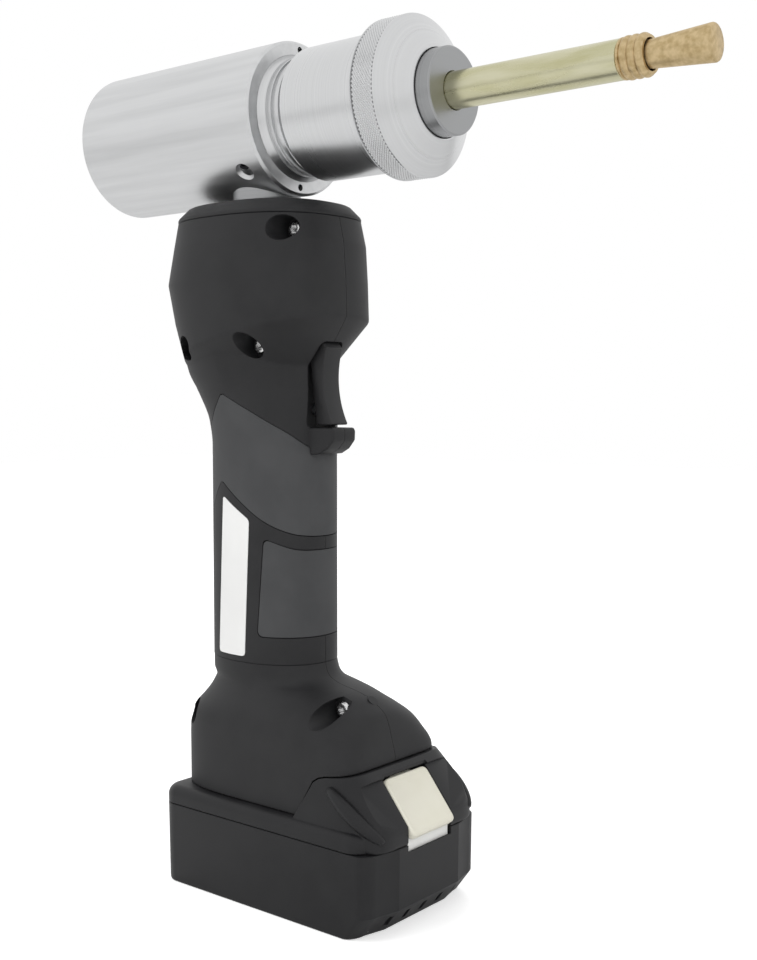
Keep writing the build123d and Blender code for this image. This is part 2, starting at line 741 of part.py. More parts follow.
# Trigger with its hub, pin, spring and switch
def make_trigger():
    front = ThreePointArc((33.4, 0, 221.4), (31.2, 0, 207), (36.1, 0, trigger_bottom + 0.5))
    edges = [
        front,
        Line(front @ 1, (35.6, 0, trigger_bottom)),
        Line((35.6, 0, trigger_bottom), (28.2, 0, trigger_bottom)),
        Line((28.2, 0, trigger_bottom), (26.3, 0, 205)),
        Line((26.3, 0, 205), (pivot_x - hub_radius + 1, 0, 221)),
        Line((pivot_x - hub_radius + 1, 0, 221), (pivot_x - hub_radius + 1, 0, pivot_z)),
        Line((pivot_x - hub_radius + 1, 0, pivot_z), (pivot_x + hub_radius - 1, 0, pivot_z)),
        Line((pivot_x + hub_radius - 1, 0, pivot_z), (32.0, 0, 223.0)),
        Line((32.0, 0, 223.0), front @ 0),
    ]
    trigger = side_solid(edges, trigger_half_width)
    trigger += bar("Y", hub_radius, -trigger_half_width, trigger_half_width, pivot_x, pivot_z)
    return trigger - bar("Y", pivot_radius + slip, -wide, wide, pivot_x, pivot_z)


nodes["trigger"] = make_trigger()
nodes["trigger_pivot_pin"] = bar("Y", pivot_radius, -pin_half_length, pin_half_length, pivot_x, pivot_z)
nodes["trigger_spring"] = tube("X", 2.4, 1.6, slot_floor, slot_floor + 3.6, 0, 197)
switch_x = (12.7, slot_floor - slot_wall)
trigger_switch = block(switch_x, (-5, 5), (switch_z - 6, switch_z + 8))
trigger_switch += bar("X", 1.6, switch_x[1], slot_floor - 0.6, 0, switch_z)
nodes["trigger_switch"] = trigger_switch
lead_x = switch_x[1] - lead_radius - 0.5
switch_leads = [bar("Z", lead_radius, control_z[1], switch_z - 6, lead_x, y) for y in (-3, 3)]
nodes["switch_leads"] = Compound(children=[lead.solids()[0] for lead in switch_leads])


# Motor can, rotor with sun pinion, planets, ring gear and carrier
def tooth_outline(teeth, root, tip, z, phase=0.0):
    step = math.tau / teeth
    points = []
    for i in range(teeth):
        middle = phase + i * step
        rise = ((root, -tooth_root_share), (tip, -tooth_tip_share))
        fall = ((tip, tooth_tip_share), (root, tooth_root_share))
        for radius, share in rise + fall:
            angle = middle + share * step
            points.append((radius * math.cos(angle), radius * math.sin(angle), z))
    return Face(Wire.make_polygon(points, close=True))


ring_teeth = sun_teeth + 2 * planet_teeth
sun_pitch = gear_module * sun_teeth / 2
planet_pitch = gear_module * planet_teeth / 2
ring_pitch = gear_module * ring_teeth / 2
planet_orbit = sun_pitch + planet_pitch
gear_z = motor_top + ring_bottom_wall + 1.0
gear_end = gear_z + gear_face_width
motor_end_wall = 2 * motor_wall

can = bar("Z", motor_radius, motor_bottom, motor_top)
can -= bar("Z", motor_radius - motor_wall, motor_bottom + motor_end_wall, motor_top - motor_end_wall)
can -= bar("Z", shaft_radius + slip, motor_bottom - 1, motor_top + 1)
nodes["motor_can"] = can

rotor = bar("Z", shaft_radius, motor_bottom + 0.5, gear_end)
rotor += bar("Z", armature_radius, motor_bottom + motor_end_wall + 1, motor_top - motor_end_wall - 1)
sun_face = tooth_outline(sun_teeth, sun_pitch - dedendum, sun_pitch + addendum, gear_z)
rotor += extrude(sun_face, amount=gear_face_width, dir=(0, 0, 1))
nodes["motor_rotor"] = rotor

ring_root = ring_pitch + dedendum
ring_gear = bar("Z", motor_radius, motor_top, ring_top)
ring_hole = tooth_outline(ring_teeth, ring_root, ring_pitch - addendum, motor_top + ring_bottom_wall)
ring_gear -= extrude(ring_hole, amount=ring_length, dir=(0, 0, 1))
ring_gear -= bar("Z", sun_pitch + addendum + gap, motor_top - 1, ring_top)
nodes["ring_gear"] = ring_gear

planet_root = planet_pitch - dedendum
planet_tip = planet_pitch + addendum
planet_face = tooth_outline(planet_teeth, planet_root, planet_tip, gear_z, math.pi / planet_teeth)
planet = extrude(planet_face, amount=gear_face_width - 1, dir=(0, 0, 1))
planet -= bar("Z", planet_pin_radius + slip, gear_z - 1, gear_end + 1)
carrier_z = gear_end + gap
carrier = bar("Z", ring_pitch - addendum - gap, carrier_z, carrier_z + carrier_thickness)
for i in range(planet_count):
    turn = Rot(0, 0, 360 / planet_count * i)
    nodes[f"planet_gear_{i + 1}"] = turn * Pos(planet_orbit, 0, 0) * planet
    carrier += turn * bar("Z", planet_pin_radius, gear_z, carrier_z, planet_orbit, 0)
eccentric_z = cover_top + 6.0
journal_top = eccentric_z + eccentric_height + 11.0
carrier += bar("Z", carrier_shaft_radius, carrier_z + carrier_thickness, journal_top)
carrier += bar("Z", eccentric_radius, eccentric_z, eccentric_z + eccentric_height, eccentric_offset)
nodes["gear_carrier"] = carrier

bearing_z = cover_top - bearing_height - 0.2
gearbox_cover = bar("Z", motor_radius, ring_top, cover_top)
gearbox_cover -= bar("Z", bearing_radius + slip, bearing_z, cover_top + 1)
gearbox_cover -= bar("Z", carrier_shaft_radius + 2, ring_top - 1, cover_top)
nodes["gearbox_cover"] = gearbox_cover
bearing_bore = carrier_shaft_radius + slip
nodes["carrier_bearing"] = tube("Z", bearing_radius, bearing_bore, bearing_z, bearing_z + bearing_height)


# Pump block with its plunger, and the oil bladder behind it
def make_pump_block():
    pump = bar("Z", pump_low_radius, cover_top, pump_step_z, neck_x)
    pump += bar("Z", pump_high_radius, pump_step_z, pump_top, neck_x)
    room = eccentric_radius + eccentric_offset + 0.6
    pump -= bar("Z", room, cover_top - 1, eccentric_z + eccentric_height + 2)
    pump -= bar("Z", carrier_shaft_radius + slip, cover_top, journal_top + 1)
    pump -= bar("X", plunger_radius + slip, -wide, 0, 0, plunger_z)
    pump -= bar("Z", neck_radius + slip, neck_bottom - 1, pump_top + 1, neck_x)
    pump -= bar("Z", 2.0, plunger_z, neck_bottom, neck_x - neck_radius + 2.5)
    for x, z, _ in housing_screws:
        pump -= bar("Y", screw_boss + gap, -wide, wide, x, z)
    return pump


plunger_z = eccentric_z + eccentric_height / 2
plunger_tip = -(eccentric_radius + eccentric_offset + 0.3)
plunger_end = neck_x - pump_low_radius + 1
nodes["pump_block"] = make_pump_block()
nodes["pump_plunger"] = bar("X", plunger_radius, plunger_end, plunger_tip, 0, plunger_z)
bladder_x = (neck_x - pump_high_radius - 9, neck_x - pump_high_radius - gap)
bladder = block(bladder_x, (-10, 10), (pump_step_z, pump_top - 6))
nodes["oil_bladder"] = fillet(bladder.edges(), 3.0)

# Swivel neck under the cylinder, with its seal
neck_seat_z = head_z - cylinder_radius + neck_seat
neck_foot_z = collar_top + gap
flare_rise = head_z - cylinder_radius - neck_foot_z
neck = spun(
    [
        (2.0, neck_bottom),
        (neck_radius, neck_bottom),
        (neck_radius, neck_foot_z),
        (neck_flare, neck_foot_z),
        (neck_flare - 0.3, neck_foot_z + 0.25 * flare_rise),
        (neck_top_radius + 0.2, neck_foot_z + 0.65 * flare_rise),
        (neck_top_radius, neck_foot_z + 0.9 * flare_rise),
        (neck_top_radius, neck_seat_z),
        (2.0, neck_seat_z),
    ],
    neck_x,
)
seal_z = neck_bottom + 6
neck -= tube("Z", neck_radius + 1, neck_radius - seal_height, seal_z, seal_z + seal_width, neck_x)
nodes["swivel_neck"] = neck
nodes["swivel_seal"] = tube("Z", neck_radius, neck_radius - seal_height, seal_z, seal_z + seal_width, neck_x)


# Cylinder: a blind cup with a milled seat for the neck, an oil way and spanner holes
def make_cylinder():
    c = cylinder_chamfer
    bore_end = cylinder_rear + cylinder_end_wall
    body = turned(
        [
            (cylinder_rear, 0),
            (cylinder_rear, cylinder_radius - c),
            (cylinder_rear + c, cylinder_radius),
            (cylinder_front - c, cylinder_radius),
            (cylinder_front, cylinder_radius - c),
            (cylinder_front, mouth_radius),
            (cylinder_front - mouth_depth, mouth_radius),
            (cylinder_front - mouth_depth, cylinder_bore),
            (bore_end, cylinder_bore),
            (bore_end, 0),
        ]
    )
    body -= bar("Z", neck_top_radius + slip, 0, neck_seat_z, neck_x)
    body -= bar("Z", 2.0, 0, head_z, neck_x)
    for side in (-1, 1):
        hole_z = head_z + side * spanner_radius
        body -= bar("X", spanner_hole, cylinder_front - spanner_depth, cylinder_front + 1, 0, hole_z)
    return body - port_bar(port_radius + slip, port_depth, wide)


def port_bar(radius, inner, outer):
    # Bar square to the cylinder, low on its right side.
    away = Pos(port_x, 0, head_z) * Rot(90 + port_angle, 0, 0)
    return away * bar("Z", radius, inner, outer)


port_depth = cylinder_radius - 5.0
nodes["cylinder_body"] = make_cylinder()
set_screw = port_bar(port_radius, port_depth, cylinder_radius - 1.6)
set_screw -= port_bar(port_radius / 2, cylinder_radius - 3.4, wide)
nodes["port_set_screw"] = set_screw

# Gland ring in the cylinder mouth, with its hub, grooves and the spigot that carries the sleeve
gland_rear = cylinder_front - mouth_depth
rod_seal_x = gland_rear + 4
gland = turned(
    [
        (gland_rear, rod_radius + slip),
        (gland_rear, mouth_radius - slip),
        (cylinder_front, mouth_radius - slip),
        (hub_ring_front, hub_ring_radius),
        (hub_ring_front + 3, hub_ring_radius),
        (hub_ring_front + 3, hub_ring_radius - groove_depth),
        (hub_ring_front + 5.2, hub_ring_radius - groove_depth),
        (hub_ring_front + 5.2, hub_ring_radius),
        (hub_ring_front + 7, hub_ring_radius),
        (hub_ring_front + 7, hub_ring_radius - groove_depth),
        (sleeve_rear, hub_ring_radius - groove_depth),
        (sleeve_rear, sleeve_bore - slip),
        (sleeve_rear + spigot_length, sleeve_bore - slip),
        (sleeve_rear + spigot_length, rod_radius + slip),
    ]
)
seal_room = bar("X", rod_radius + seal_height, rod_seal_x, rod_seal_x + seal_width, 0, head_z)
nodes["gland_ring"] = gland - seal_room
nodes["rod_seal"] = tube(
    "X", rod_radius + seal_height, rod_radius + slip, rod_seal_x, rod_seal_x + seal_width, 0, head_z
)
nodes["nose_sleeve"] = tube("X", sleeve_radius, sleeve_bore, sleeve_rear, sleeve_front, 0, head_z)

# Ram: piston, seal, rod, breakaway stud and tapered pin
piston_rear = piston_front - piston_length
spigot = rod_radius - 2
piston = tube("X", cylinder_bore - slip, spigot + slip, piston_rear, piston_front, 0, head_z)
seal_x = piston_rear + (piston_length - seal_width) / 2
piston -= tube("X", cylinder_bore + 1, cylinder_bore - seal_height, seal_x, seal_x + seal_width, 0, head_z)
nodes["ram_piston"] = piston
nodes["piston_seal"] = tube(
    "X", cylinder_bore - slip, cylinder_bore - seal_height, seal_x, seal_x + seal_width, 0, head_z
)
rod_front = stud_rear + 16
rod = bar("X", spigot, piston_rear, piston_front, 0, head_z)
rod += bar("X", rod_radius, piston_front, rod_front, 0, head_z)
nodes["pull_rod"] = rod - bar("X", stud_radius + slip, stud_rear, rod_front + 1, 0, head_z)
stud_front = pin_rear + stud_thread
stud = bar("X", stud_radius, stud_rear, stud_front, 0, head_z)
stud -= tube("X", stud_radius + 1, stud_radius - 0.6, pin_rear - 4, pin_rear - 3, 0, head_z)
nodes["breakaway_stud"] = stud
spring_outer = cylinder_bore - 3
spring_end = cylinder_rear + cylinder_end_wall
nodes["return_spring"] = tube("X", spring_outer, spring_outer - 4.5, spring_end, piston_rear - gap, 0, head_z)

pin_taper = (pin_large - pin_small) / (pin_tip - ring_front)


def pin_radius(x):
    return pin_small + (x - ring_front) * pin_taper


pin = turned(
    [
        (pin_rear, 0),
        (pin_rear, pin_radius(pin_rear)),
        (pin_tip - pin_chamfer, pin_radius(pin_tip - pin_chamfer)),
        (pin_tip, pin_large - pin_chamfer),
        (pin_tip, 0),
    ]
)
nodes["plug_pin"] = pin - bar("X", stud_radius + slip, pin_rear - 1, stud_front + 0.5, 0, head_z)


# Serrated ring: a land and rounded ribs outside, a bore that follows the drawn-in pin inside
def make_plug_ring():
    ribs_front = ring_front - 0.4
    ribs_rear = ribs_front - rib_count * rib_pitch
    up = lambda x, r: (x, 0, head_z + r)
    edges = [
        Line(up(tube_front, bore_radius(tube_front)), up(tube_front, ring_land)),
        Line(up(tube_front, ring_land), up(ribs_rear, ring_land)),
        Line(up(ribs_rear, ring_land), up(ribs_rear, rib_valley)),
    ]
    for i in range(rib_count):
        start = ribs_rear + i * rib_pitch
        middle = up(start + rib_pitch / 2, rib_crest)
        edges.append(ThreePointArc(up(start, rib_valley), middle, up(start + rib_pitch, rib_valley)))
    edges += [
        Line(up(ribs_front, rib_valley), up(ring_front, rib_valley)),
        Line(up(ring_front, rib_valley), up(ring_front, bore_radius(ring_front))),
        Line(up(ring_front, bore_radius(ring_front)), up(tube_front, bore_radius(tube_front))),
    ]
    return revolve(Face(Wire(edges)), axis=Axis((0, 0, head_z), (1, 0, 0)))


def bore_radius(x):
    return pin_radius(x + ram_stroke) + 3 * slip


nodes["plug_ring"] = make_plug_ring()

# Knurled cap, the washer under it, the bush it holds and the positioner tube
cap_face = sleeve_front + bush_flange_thickness + washer_thickness + 2 * slip
cap_room = bush_flange + gap
nodes["knurled_cap"] = turned(
    [
        (cap_rear, sleeve_radius + slip),
        (cap_rear, cap_radius - 0.6),
        (cap_rear + 0.6, cap_radius),
        (cap_knurl_front, cap_radius),
        (cap_front, cap_nose),
        (cap_front, bush_radius + gap),
        (cap_face, bush_radius + gap),
        (cap_face, cap_room),
        (sleeve_front + gap, cap_room),
        (sleeve_front + gap, sleeve_radius + slip),
    ]
)
washer_x = sleeve_front + bush_flange_thickness + slip
nodes["cap_thrust_washer"] = tube(
    "X", bush_flange, bush_radius + gap, washer_x, washer_x + washer_thickness, 0, head_z
)
nodes["nose_bush"] = turned(
    [
        (sleeve_front, stud_radius + 2.5),
        (sleeve_front, bush_flange),
        (sleeve_front + bush_flange_thickness, bush_flange),
        (sleeve_front + bush_flange_thickness, bush_radius),
        (bush_front - 0.6, bush_radius),
        (bush_front, bush_radius - 0.6),
        (bush_front, tube_radius),
        (tube_rear, tube_radius),
        (tube_rear, stud_radius + 2.5),
    ]
)
positioner = bar("X", tube_radius, bush_front, tube_front, 0, head_z)
positioner += bar("X", tube_radius - slip, tube_rear, bush_front, 0, head_z)
nodes["positioner_tube"] = positioner - bar("X", tube_bore, tube_rear - 1, tube_front + 1, 0, head_z)

os.makedirs("parts", exist_ok=True)
for name, shape in nodes.items():
    export_step(shape, f"parts/{name}.step")
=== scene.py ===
import json
import math

import bmesh
import bpy
import numpy as np
from mathutils import Matrix, Vector


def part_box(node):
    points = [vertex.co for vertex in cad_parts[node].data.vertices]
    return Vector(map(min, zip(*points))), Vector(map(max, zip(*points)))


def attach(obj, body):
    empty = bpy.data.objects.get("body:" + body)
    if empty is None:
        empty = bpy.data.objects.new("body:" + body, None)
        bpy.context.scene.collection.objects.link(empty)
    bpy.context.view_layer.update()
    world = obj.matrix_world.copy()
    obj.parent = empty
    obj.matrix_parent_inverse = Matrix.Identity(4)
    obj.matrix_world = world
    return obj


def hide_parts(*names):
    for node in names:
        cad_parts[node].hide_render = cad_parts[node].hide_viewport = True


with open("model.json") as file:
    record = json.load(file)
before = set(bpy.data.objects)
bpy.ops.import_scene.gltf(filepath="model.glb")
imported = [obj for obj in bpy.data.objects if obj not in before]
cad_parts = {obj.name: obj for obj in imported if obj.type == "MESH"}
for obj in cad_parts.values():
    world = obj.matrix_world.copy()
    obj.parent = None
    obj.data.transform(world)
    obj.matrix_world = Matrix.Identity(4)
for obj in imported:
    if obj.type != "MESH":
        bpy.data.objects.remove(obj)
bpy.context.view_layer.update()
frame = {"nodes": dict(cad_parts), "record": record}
mm = 0.001  # sizes below are in millimetres, Blender works in metres
weld = 0.002  # points closer than this become one
past, packPast = 90, 60  # cutters reach this far to either side of the handle and of the pack
fineRound = 192  # segments of the large turned pieces


# Small mesh tools
def meshPiece(name, points, faces):
    mesh = bpy.data.meshes.new(name)
    mesh.from_pydata([(x * mm, y * mm, z * mm) for x, y, z in points], [], faces)
    mesh.validate()
    piece = bpy.data.objects.new(name, mesh)
    bpy.context.collection.objects.link(piece)
    return piece


def outward(piece):
    bm = bmesh.new()
    bm.from_mesh(piece.data)
    bmesh.ops.remove_doubles(bm, verts=bm.verts, dist=weld * mm)
    bmesh.ops.recalc_face_normals(bm, faces=bm.faces)
    bm.to_mesh(piece.data)
    bm.free()
    return piece


def settle(piece):  # makes the modifiers' result the piece's own mesh
    bpy.context.view_layer.update()
    graph = bpy.context.evaluated_depsgraph_get()
    mesh = bpy.data.meshes.new_from_object(piece.evaluated_get(graph))
    old = piece.data
    piece.modifiers.clear()
    piece.data = mesh
    mesh.name = piece.name
    bpy.data.meshes.remove(old)
    return piece


def drop(piece):
    mesh = piece.data
    bpy.data.objects.remove(piece)
    bpy.data.meshes.remove(mesh)


def carve(piece, cutter, how="DIFFERENCE"):
    step = piece.modifiers.new("carve", "BOOLEAN")
    step.solver = "EXACT"
    step.operation = how
    step.object = cutter
    settle(piece)
    drop(cutter)
    return piece


def soften(piece, width, segments=2, angle=40):
    step = piece.modifiers.new("soften", "BEVEL")
    step.width = width * mm
    step.segments = segments
    step.limit_method = "ANGLE"
    step.angle_limit = math.radians(angle)
    return settle(piece)


def shade(piece, angle=30):
    piece.data.shade_smooth()
    piece.data.set_sharp_from_angle(angle=math.radians(angle))
    return piece


def place(piece, body, slot, *nodes, look=None):
    piece.data.materials.clear()
    piece.data.materials.append(looks[look] if look else lookOf(slot))
    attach(piece, body)
    if nodes:
        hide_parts(*nodes)


# Solids
def ringMesh(name, outline, segments, spot):  # outline of (along, radius) turned into a closed skin
    points, rings, faces = [], [], []
    for along, radius in outline:
        ring = []
        for i in range(segments if radius else 1):
            ring.append(len(points))
            turn = math.tau * i / segments
            points.append(spot(along, radius * math.cos(turn), radius * math.sin(turn)))
        rings.append(ring)
    for a, b in zip(rings, rings[1:] + rings[:1]):
        if len(a) == 1 and len(b) == 1:
            continue
        for i in range(segments):
            j = (i + 1) % segments
            corner = [a[i % len(a)], a[j % len(a)], b[j % len(b)], b[i % len(b)]]
            faces.append(list(dict.fromkeys(corner)))
    return outward(meshPiece(name, points, faces))


def turned(name, outline, segments=144):  # about the axis of the head
    return ringMesh(name, outline, segments, lambda along, u, v: (along, u, headZ + v))


def spun(name, outline, x=0.0, segments=96):  # about an upright axis
    return ringMesh(name, outline, segments, lambda along, u, v: (x + u, v, along))


def bar(low, high, radius):  # outline of a plain round bar
    return [(low, 0), (low, radius), (high, radius), (high, 0)]


def rodAcross(name, radius, x, z, y0, y1):
    return ringMesh(name, bar(y0, y1, radius), 48, lambda along, u, v: (x + u, along, z + v))


def drawn(name, outline, low, high, spot):
    count = len(outline)
    points = [spot(u, v, end) for end in (low, high) for u, v in outline]
    faces = [list(range(count)), list(range(2 * count - 1, count - 1, -1))]
    for i in range(count):
        j = (i + 1) % count
        faces.append([i, j, count + j, count + i])
    return outward(meshPiece(name, points, faces))


def drill(piece, spots, radius, deeper=0.0):  # holes from the right side, one at each screw
    for x, z, y in spots:
        carve(piece, rodAcross("well", radius, x, z, -past, y + deeper))


def prism(name, outline, y0, y1):  # outline in side view, drawn from y0 to y1
    return drawn(name, outline, y0, y1, lambda x, z, y: (x, y, z))


def endPrism(name, outline, x0, x1):  # outline in end view, drawn from x0 to x1
    return drawn(name, outline, x0, x1, lambda y, z, x: (x, y, z))


def slab(name, x, y, z):
    return prism(name, [(x[0], z[0]), (x[1], z[0]), (x[1], z[1]), (x[0], z[1])], y[0], y[1])


def eased(at, xs, ys):  # smooth curve through the table without overshoot
    at, xs, ys = (np.asarray(values, float) for values in (at, xs, ys))
    h = np.diff(xs)
    d = np.diff(ys) / h
    m = np.zeros(len(xs))
    for i in range(1, len(xs) - 1):
        if d[i - 1] * d[i] > 0:
            w1, w2 = 2 * h[i] + h[i - 1], h[i] + 2 * h[i - 1]
            m[i] = (w1 + w2) / (w1 / d[i - 1] + w2 / d[i])
    m[0], m[-1] = d[0], d[-1]
    k = np.clip(np.searchsorted(xs, at) - 1, 0, len(h) - 1)
    t = (at - xs[k]) / h[k]
    return (
        ys[k] * (1 + 2 * t) * (1 - t) ** 2
        + m[k] * h[k] * t * (1 - t) ** 2
        + ys[k + 1] * t * t * (3 - 2 * t)
        + m[k + 1] * h[k] * t * t * (t - 1)
    )


def readTable(table, at, curve=eased):  # each column of the table at the heights given
    levels, *columns = zip(*table)
    return [curve(at, levels, column) for column in columns]


def arc(x, z, radius, first, last, count):  # points on a circle, from one angle to another in degrees
    turns = np.radians(np.linspace(first, last, count))
    return [(x + radius * math.cos(turn), z + radius * math.sin(turn)) for turn in turns]


def ovalRow(z, rear, front, half, square, columns, squareRear=None):
    angle = np.linspace(0, math.tau, columns, endpoint=False)
    c, s = np.cos(angle), np.sin(angle)
    if squareRear:
        square = np.where(c < 0, min(square, squareRear), square)
    reach = (np.abs(c) ** square + np.abs(s) ** square) ** (-1 / square)
    x = (rear + front) / 2 + (front - rear) / 2 * c * reach
    return np.stack([x, half * s * reach, np.full(columns, z)], 1)


def rowsPiece(name, rows):  # closed skin over rows of equal length, with flat ends
    columns = len(rows[0])
    points = [tuple(p) for row in rows for p in row]
    last = (len(rows) - 1) * columns
    faces = []
    for low in range(0, last, columns):
        high = low + columns
        for i in range(columns):
            j = (i + 1) % columns
            faces.append([low + i, low + j, high + j, high + i])
    faces.append(list(range(columns))[::-1])
    faces.append(list(range(last, last + columns)))
    return outward(meshPiece(name, points, faces))


def ovalLoft(name, table, step, columns=160, inset=0.0, lower=0.0, squareRear=None):
    low, high = table[0][0], table[-1][0]
    levels = np.linspace(low, high, int((high - low) / step) + 2)
    rows = []
    for z, rear, front, half, square in zip(levels, *readTable(table, levels)):
        section = (z - lower, rear + inset, front - inset, half - inset, square)
        rows.append(ovalRow(*section, columns, squareRear))
    return rowsPiece(name, rows)


def smoothLine(points, steps=8):  # gentle curve through the points
    p = np.array([points[0]] + list(points) + [points[-1]], float)
    line = []
    for i in range(1, len(p) - 2):
        for t in np.linspace(0, 1, steps, endpoint=False):
            a = 2 * p[i] + (p[i + 1] - p[i - 1]) * t
            b = (2 * p[i - 1] - 5 * p[i] + 4 * p[i + 1] - p[i + 2]) * t * t
            c = (3 * p[i] - p[i - 1] - 3 * p[i + 1] + p[i + 2]) * t**3
            line.append(tuple((a + b + c) / 2))
    line.append(tuple(p[-2]))
    return line


def roundCorners(points, radius, steps=6):  # polygon with each corner eased, by less than half an edge
    count = len(points)
    line = []
    for i in range(count):
        before, here, after = (np.array(points[(i + k) % count], float) for k in (-1, 0, 1))
        a, b = before - here, after - here
        cut = min(radius, np.linalg.norm(a) / 2.1, np.linalg.norm(b) / 2.1)
        start = here + a / np.linalg.norm(a) * cut
        end = here + b / np.linalg.norm(b) * cut
        for t in np.linspace(0, 1, steps + 1):
            line.append(tuple((1 - t) ** 2 * start + 2 * t * (1 - t) * here + t * t * end))
    return line


def moved(points, dx, dz):
    return [(x + dx, z + dz) for x, z in points]


def placeHalves(piece, pairs, seam=0.1):  # splits a piece on the middle plane and leaves a fine seam
    for (name, node), y in zip(pairs, ((-past, -seam), (seam, past))):
        half = piece.copy()
        half.data = piece.data.copy()
        half.name = name
        bpy.context.collection.objects.link(half)
        carve(half, slab("halfSpace", (-200, 300), y, (-20, 420)), "INTERSECT")
        place(shade(half), "handle", "black_housing", node)
    drop(piece)


# Node trees
def feed(tree, node, values):  # sets or links a node's inputs
    for key, value in values.items():
        if isinstance(value, bpy.types.NodeSocket):
            tree.links.new(value, node.inputs[key])
        else:
            node.inputs[key].default_value = value


def addNode(tree, kind, values=None, **settings):
    node = tree.nodes.new(kind)
    for key, value in settings.items():
        setattr(node, key, value)
    feed(tree, node, values or {})
    return node


def reckon(tree, operation, *values):  # one math step
    return addNode(tree, "ShaderNodeMath", dict(enumerate(values)), operation=operation).outputs[0]


def vectorStep(tree, operation, *values):
    return addNode(tree, "ShaderNodeVectorMath", dict(enumerate(values)), operation=operation)


def objectSpot(tree):
    return addNode(tree, "ShaderNodeTexCoord").outputs["Object"]


def newTree(name, sockets):  # geometry tree with the inputs named
    tree = bpy.data.node_groups.new(name, "GeometryNodeTree")
    for socket, kind in sockets.items():
        tree.interface.new_socket(socket, in_out="INPUT", socket_type=f"NodeSocket{kind}")
    tree.interface.new_socket("Geometry", in_out="OUTPUT", socket_type="NodeSocketGeometry")
    return tree, tree.nodes.new("NodeGroupInput").outputs


def closeTree(tree, given, copies):  # copies set on points become painted mesh
    stand = addNode(tree, "GeometryNodeInstanceOnPoints", copies)
    real = addNode(tree, "GeometryNodeRealizeInstances", {0: stand.outputs[0]})
    paint = {"Geometry": real.outputs[0], "Material": given["Finish"]}
    painted = addNode(tree, "GeometryNodeSetMaterial", paint)
    addNode(tree, "NodeGroupOutput", {"Geometry": painted.outputs[0]})
    return tree


def grownPiece(name, points, tree, values):
    piece = meshPiece(name, points, [])
    step = piece.modifiers.new("grow", "NODES")
    step.node_group = tree
    for item in tree.interface.items_tree:
        if item.in_out == "INPUT" and item.name in values:
            step[item.identifier] = values[item.name]
    return settle(piece)


# Materials
texture = {
    "metalBump": 0.35, "metalDetail": 4.0, "mouldBump": 0.5, "fineDetail": 2.0, "broadDetail": 3.0,
    "broader": 40, "noise": (0.3, 0.7), "tones": (0.35, 0.65), "edgeSamples": 4,
}
headEnd = {"x": -85.5, "z": 314.0, "rings": 1100}


def finish(name, color, rough, metallic=0.0):
    material = bpy.data.materials.new(name)
    material.use_nodes = True
    tree = material.node_tree
    shader = tree.nodes["Principled BSDF"]
    feed(tree, shader, {"Base Color": (*color, 1), "Roughness": rough, "Metallic": metallic})
    return material, tree, shader


def objectNoise(tree, scale, stretch, detail):
    spot = addNode(tree, "ShaderNodeMapping", {"Vector": objectSpot(tree), "Scale": stretch}).outputs[0]
    marks = {"Vector": spot, "Scale": scale, "Detail": detail}
    return addNode(tree, "ShaderNodeTexNoise", marks).outputs["Fac"]


def ramp(tree, source, *colors):
    band = addNode(tree, "ShaderNodeValToRGB", {"Fac": source})
    for i, color in enumerate(colors):
        band.color_ramp.elements[i].position = texture["tones"][i]
        band.color_ramp.elements[i].color = (*color, 1)
    return band.outputs["Color"]


def spread(tree, source, low, high):
    start, end = texture["noise"]
    band = {"Value": source, "From Min": start, "From Max": end, "To Min": low, "To Max": high}
    return addNode(tree, "ShaderNodeMapRange", band).outputs["Result"]


def relief(tree, shader, source, strength, distance):
    height = {"Height": source, "Strength": strength, "Distance": distance * mm}
    bump = addNode(tree, "ShaderNodeBump", height)
    feed(tree, shader, {"Normal": bump.outputs["Normal"]})
    return bump


def endRings(tree, lines):  # turning marks about the head's axis on the cylinder's rear face
    spot = objectSpot(tree)
    away = vectorStep(tree, "SUBTRACT", spot, (0, 0, headEnd["z"] * mm)).outputs["Vector"]
    flat = vectorStep(tree, "MULTIPLY", away, (0, 1, 1)).outputs["Vector"]
    marks = {"W": vectorStep(tree, "LENGTH", flat).outputs["Value"], "Scale": headEnd["rings"]}
    rings = addNode(tree, "ShaderNodeTexNoise", marks, noise_dimensions="1D").outputs["Fac"]
    along = addNode(tree, "ShaderNodeSeparateXYZ", {0: spot}).outputs["X"]
    behind = reckon(tree, "LESS_THAN", along, headEnd["x"] * mm)
    return addNode(tree, "ShaderNodeMix", {"Factor": behind, "A": lines, "B": rings}).outputs["Result"]


def metalFinish(name, dark, light, rough, grain, stretch, depth, ended=False):
    material, tree, shader = finish(name, light, rough[0], 1.0)
    lines = objectNoise(tree, grain, stretch, texture["metalDetail"])
    if ended:
        lines = endRings(tree, lines)
    tone, sheen = ramp(tree, lines, dark, light), spread(tree, lines, *rough)
    feed(tree, shader, {"Base Color": tone, "Roughness": sheen})
    relief(tree, shader, lines, texture["metalBump"], depth)
    return material


def mouldedFinish(name, dark, light, rough, grain, depth, rounding=0.0, gloss=0.5):
    material, tree, shader = finish(name, light, rough[0])
    fine = objectNoise(tree, grain, even, texture["fineDetail"])
    broad = objectNoise(tree, grain / texture["broader"], even, texture["broadDetail"])
    tone, sheen = ramp(tree, broad, dark, light), spread(tree, broad, *rough)
    feed(tree, shader, {"Base Color": tone, "Roughness": sheen, "Specular IOR Level": gloss})
    bump = relief(tree, shader, fine, texture["mouldBump"], depth)
    if rounding:
        edge = addNode(tree, "ShaderNodeBevel", {"Radius": rounding * mm}, samples=texture["edgeSamples"])
        feed(tree, bump, {"Normal": edge.outputs["Normal"]})
    return material


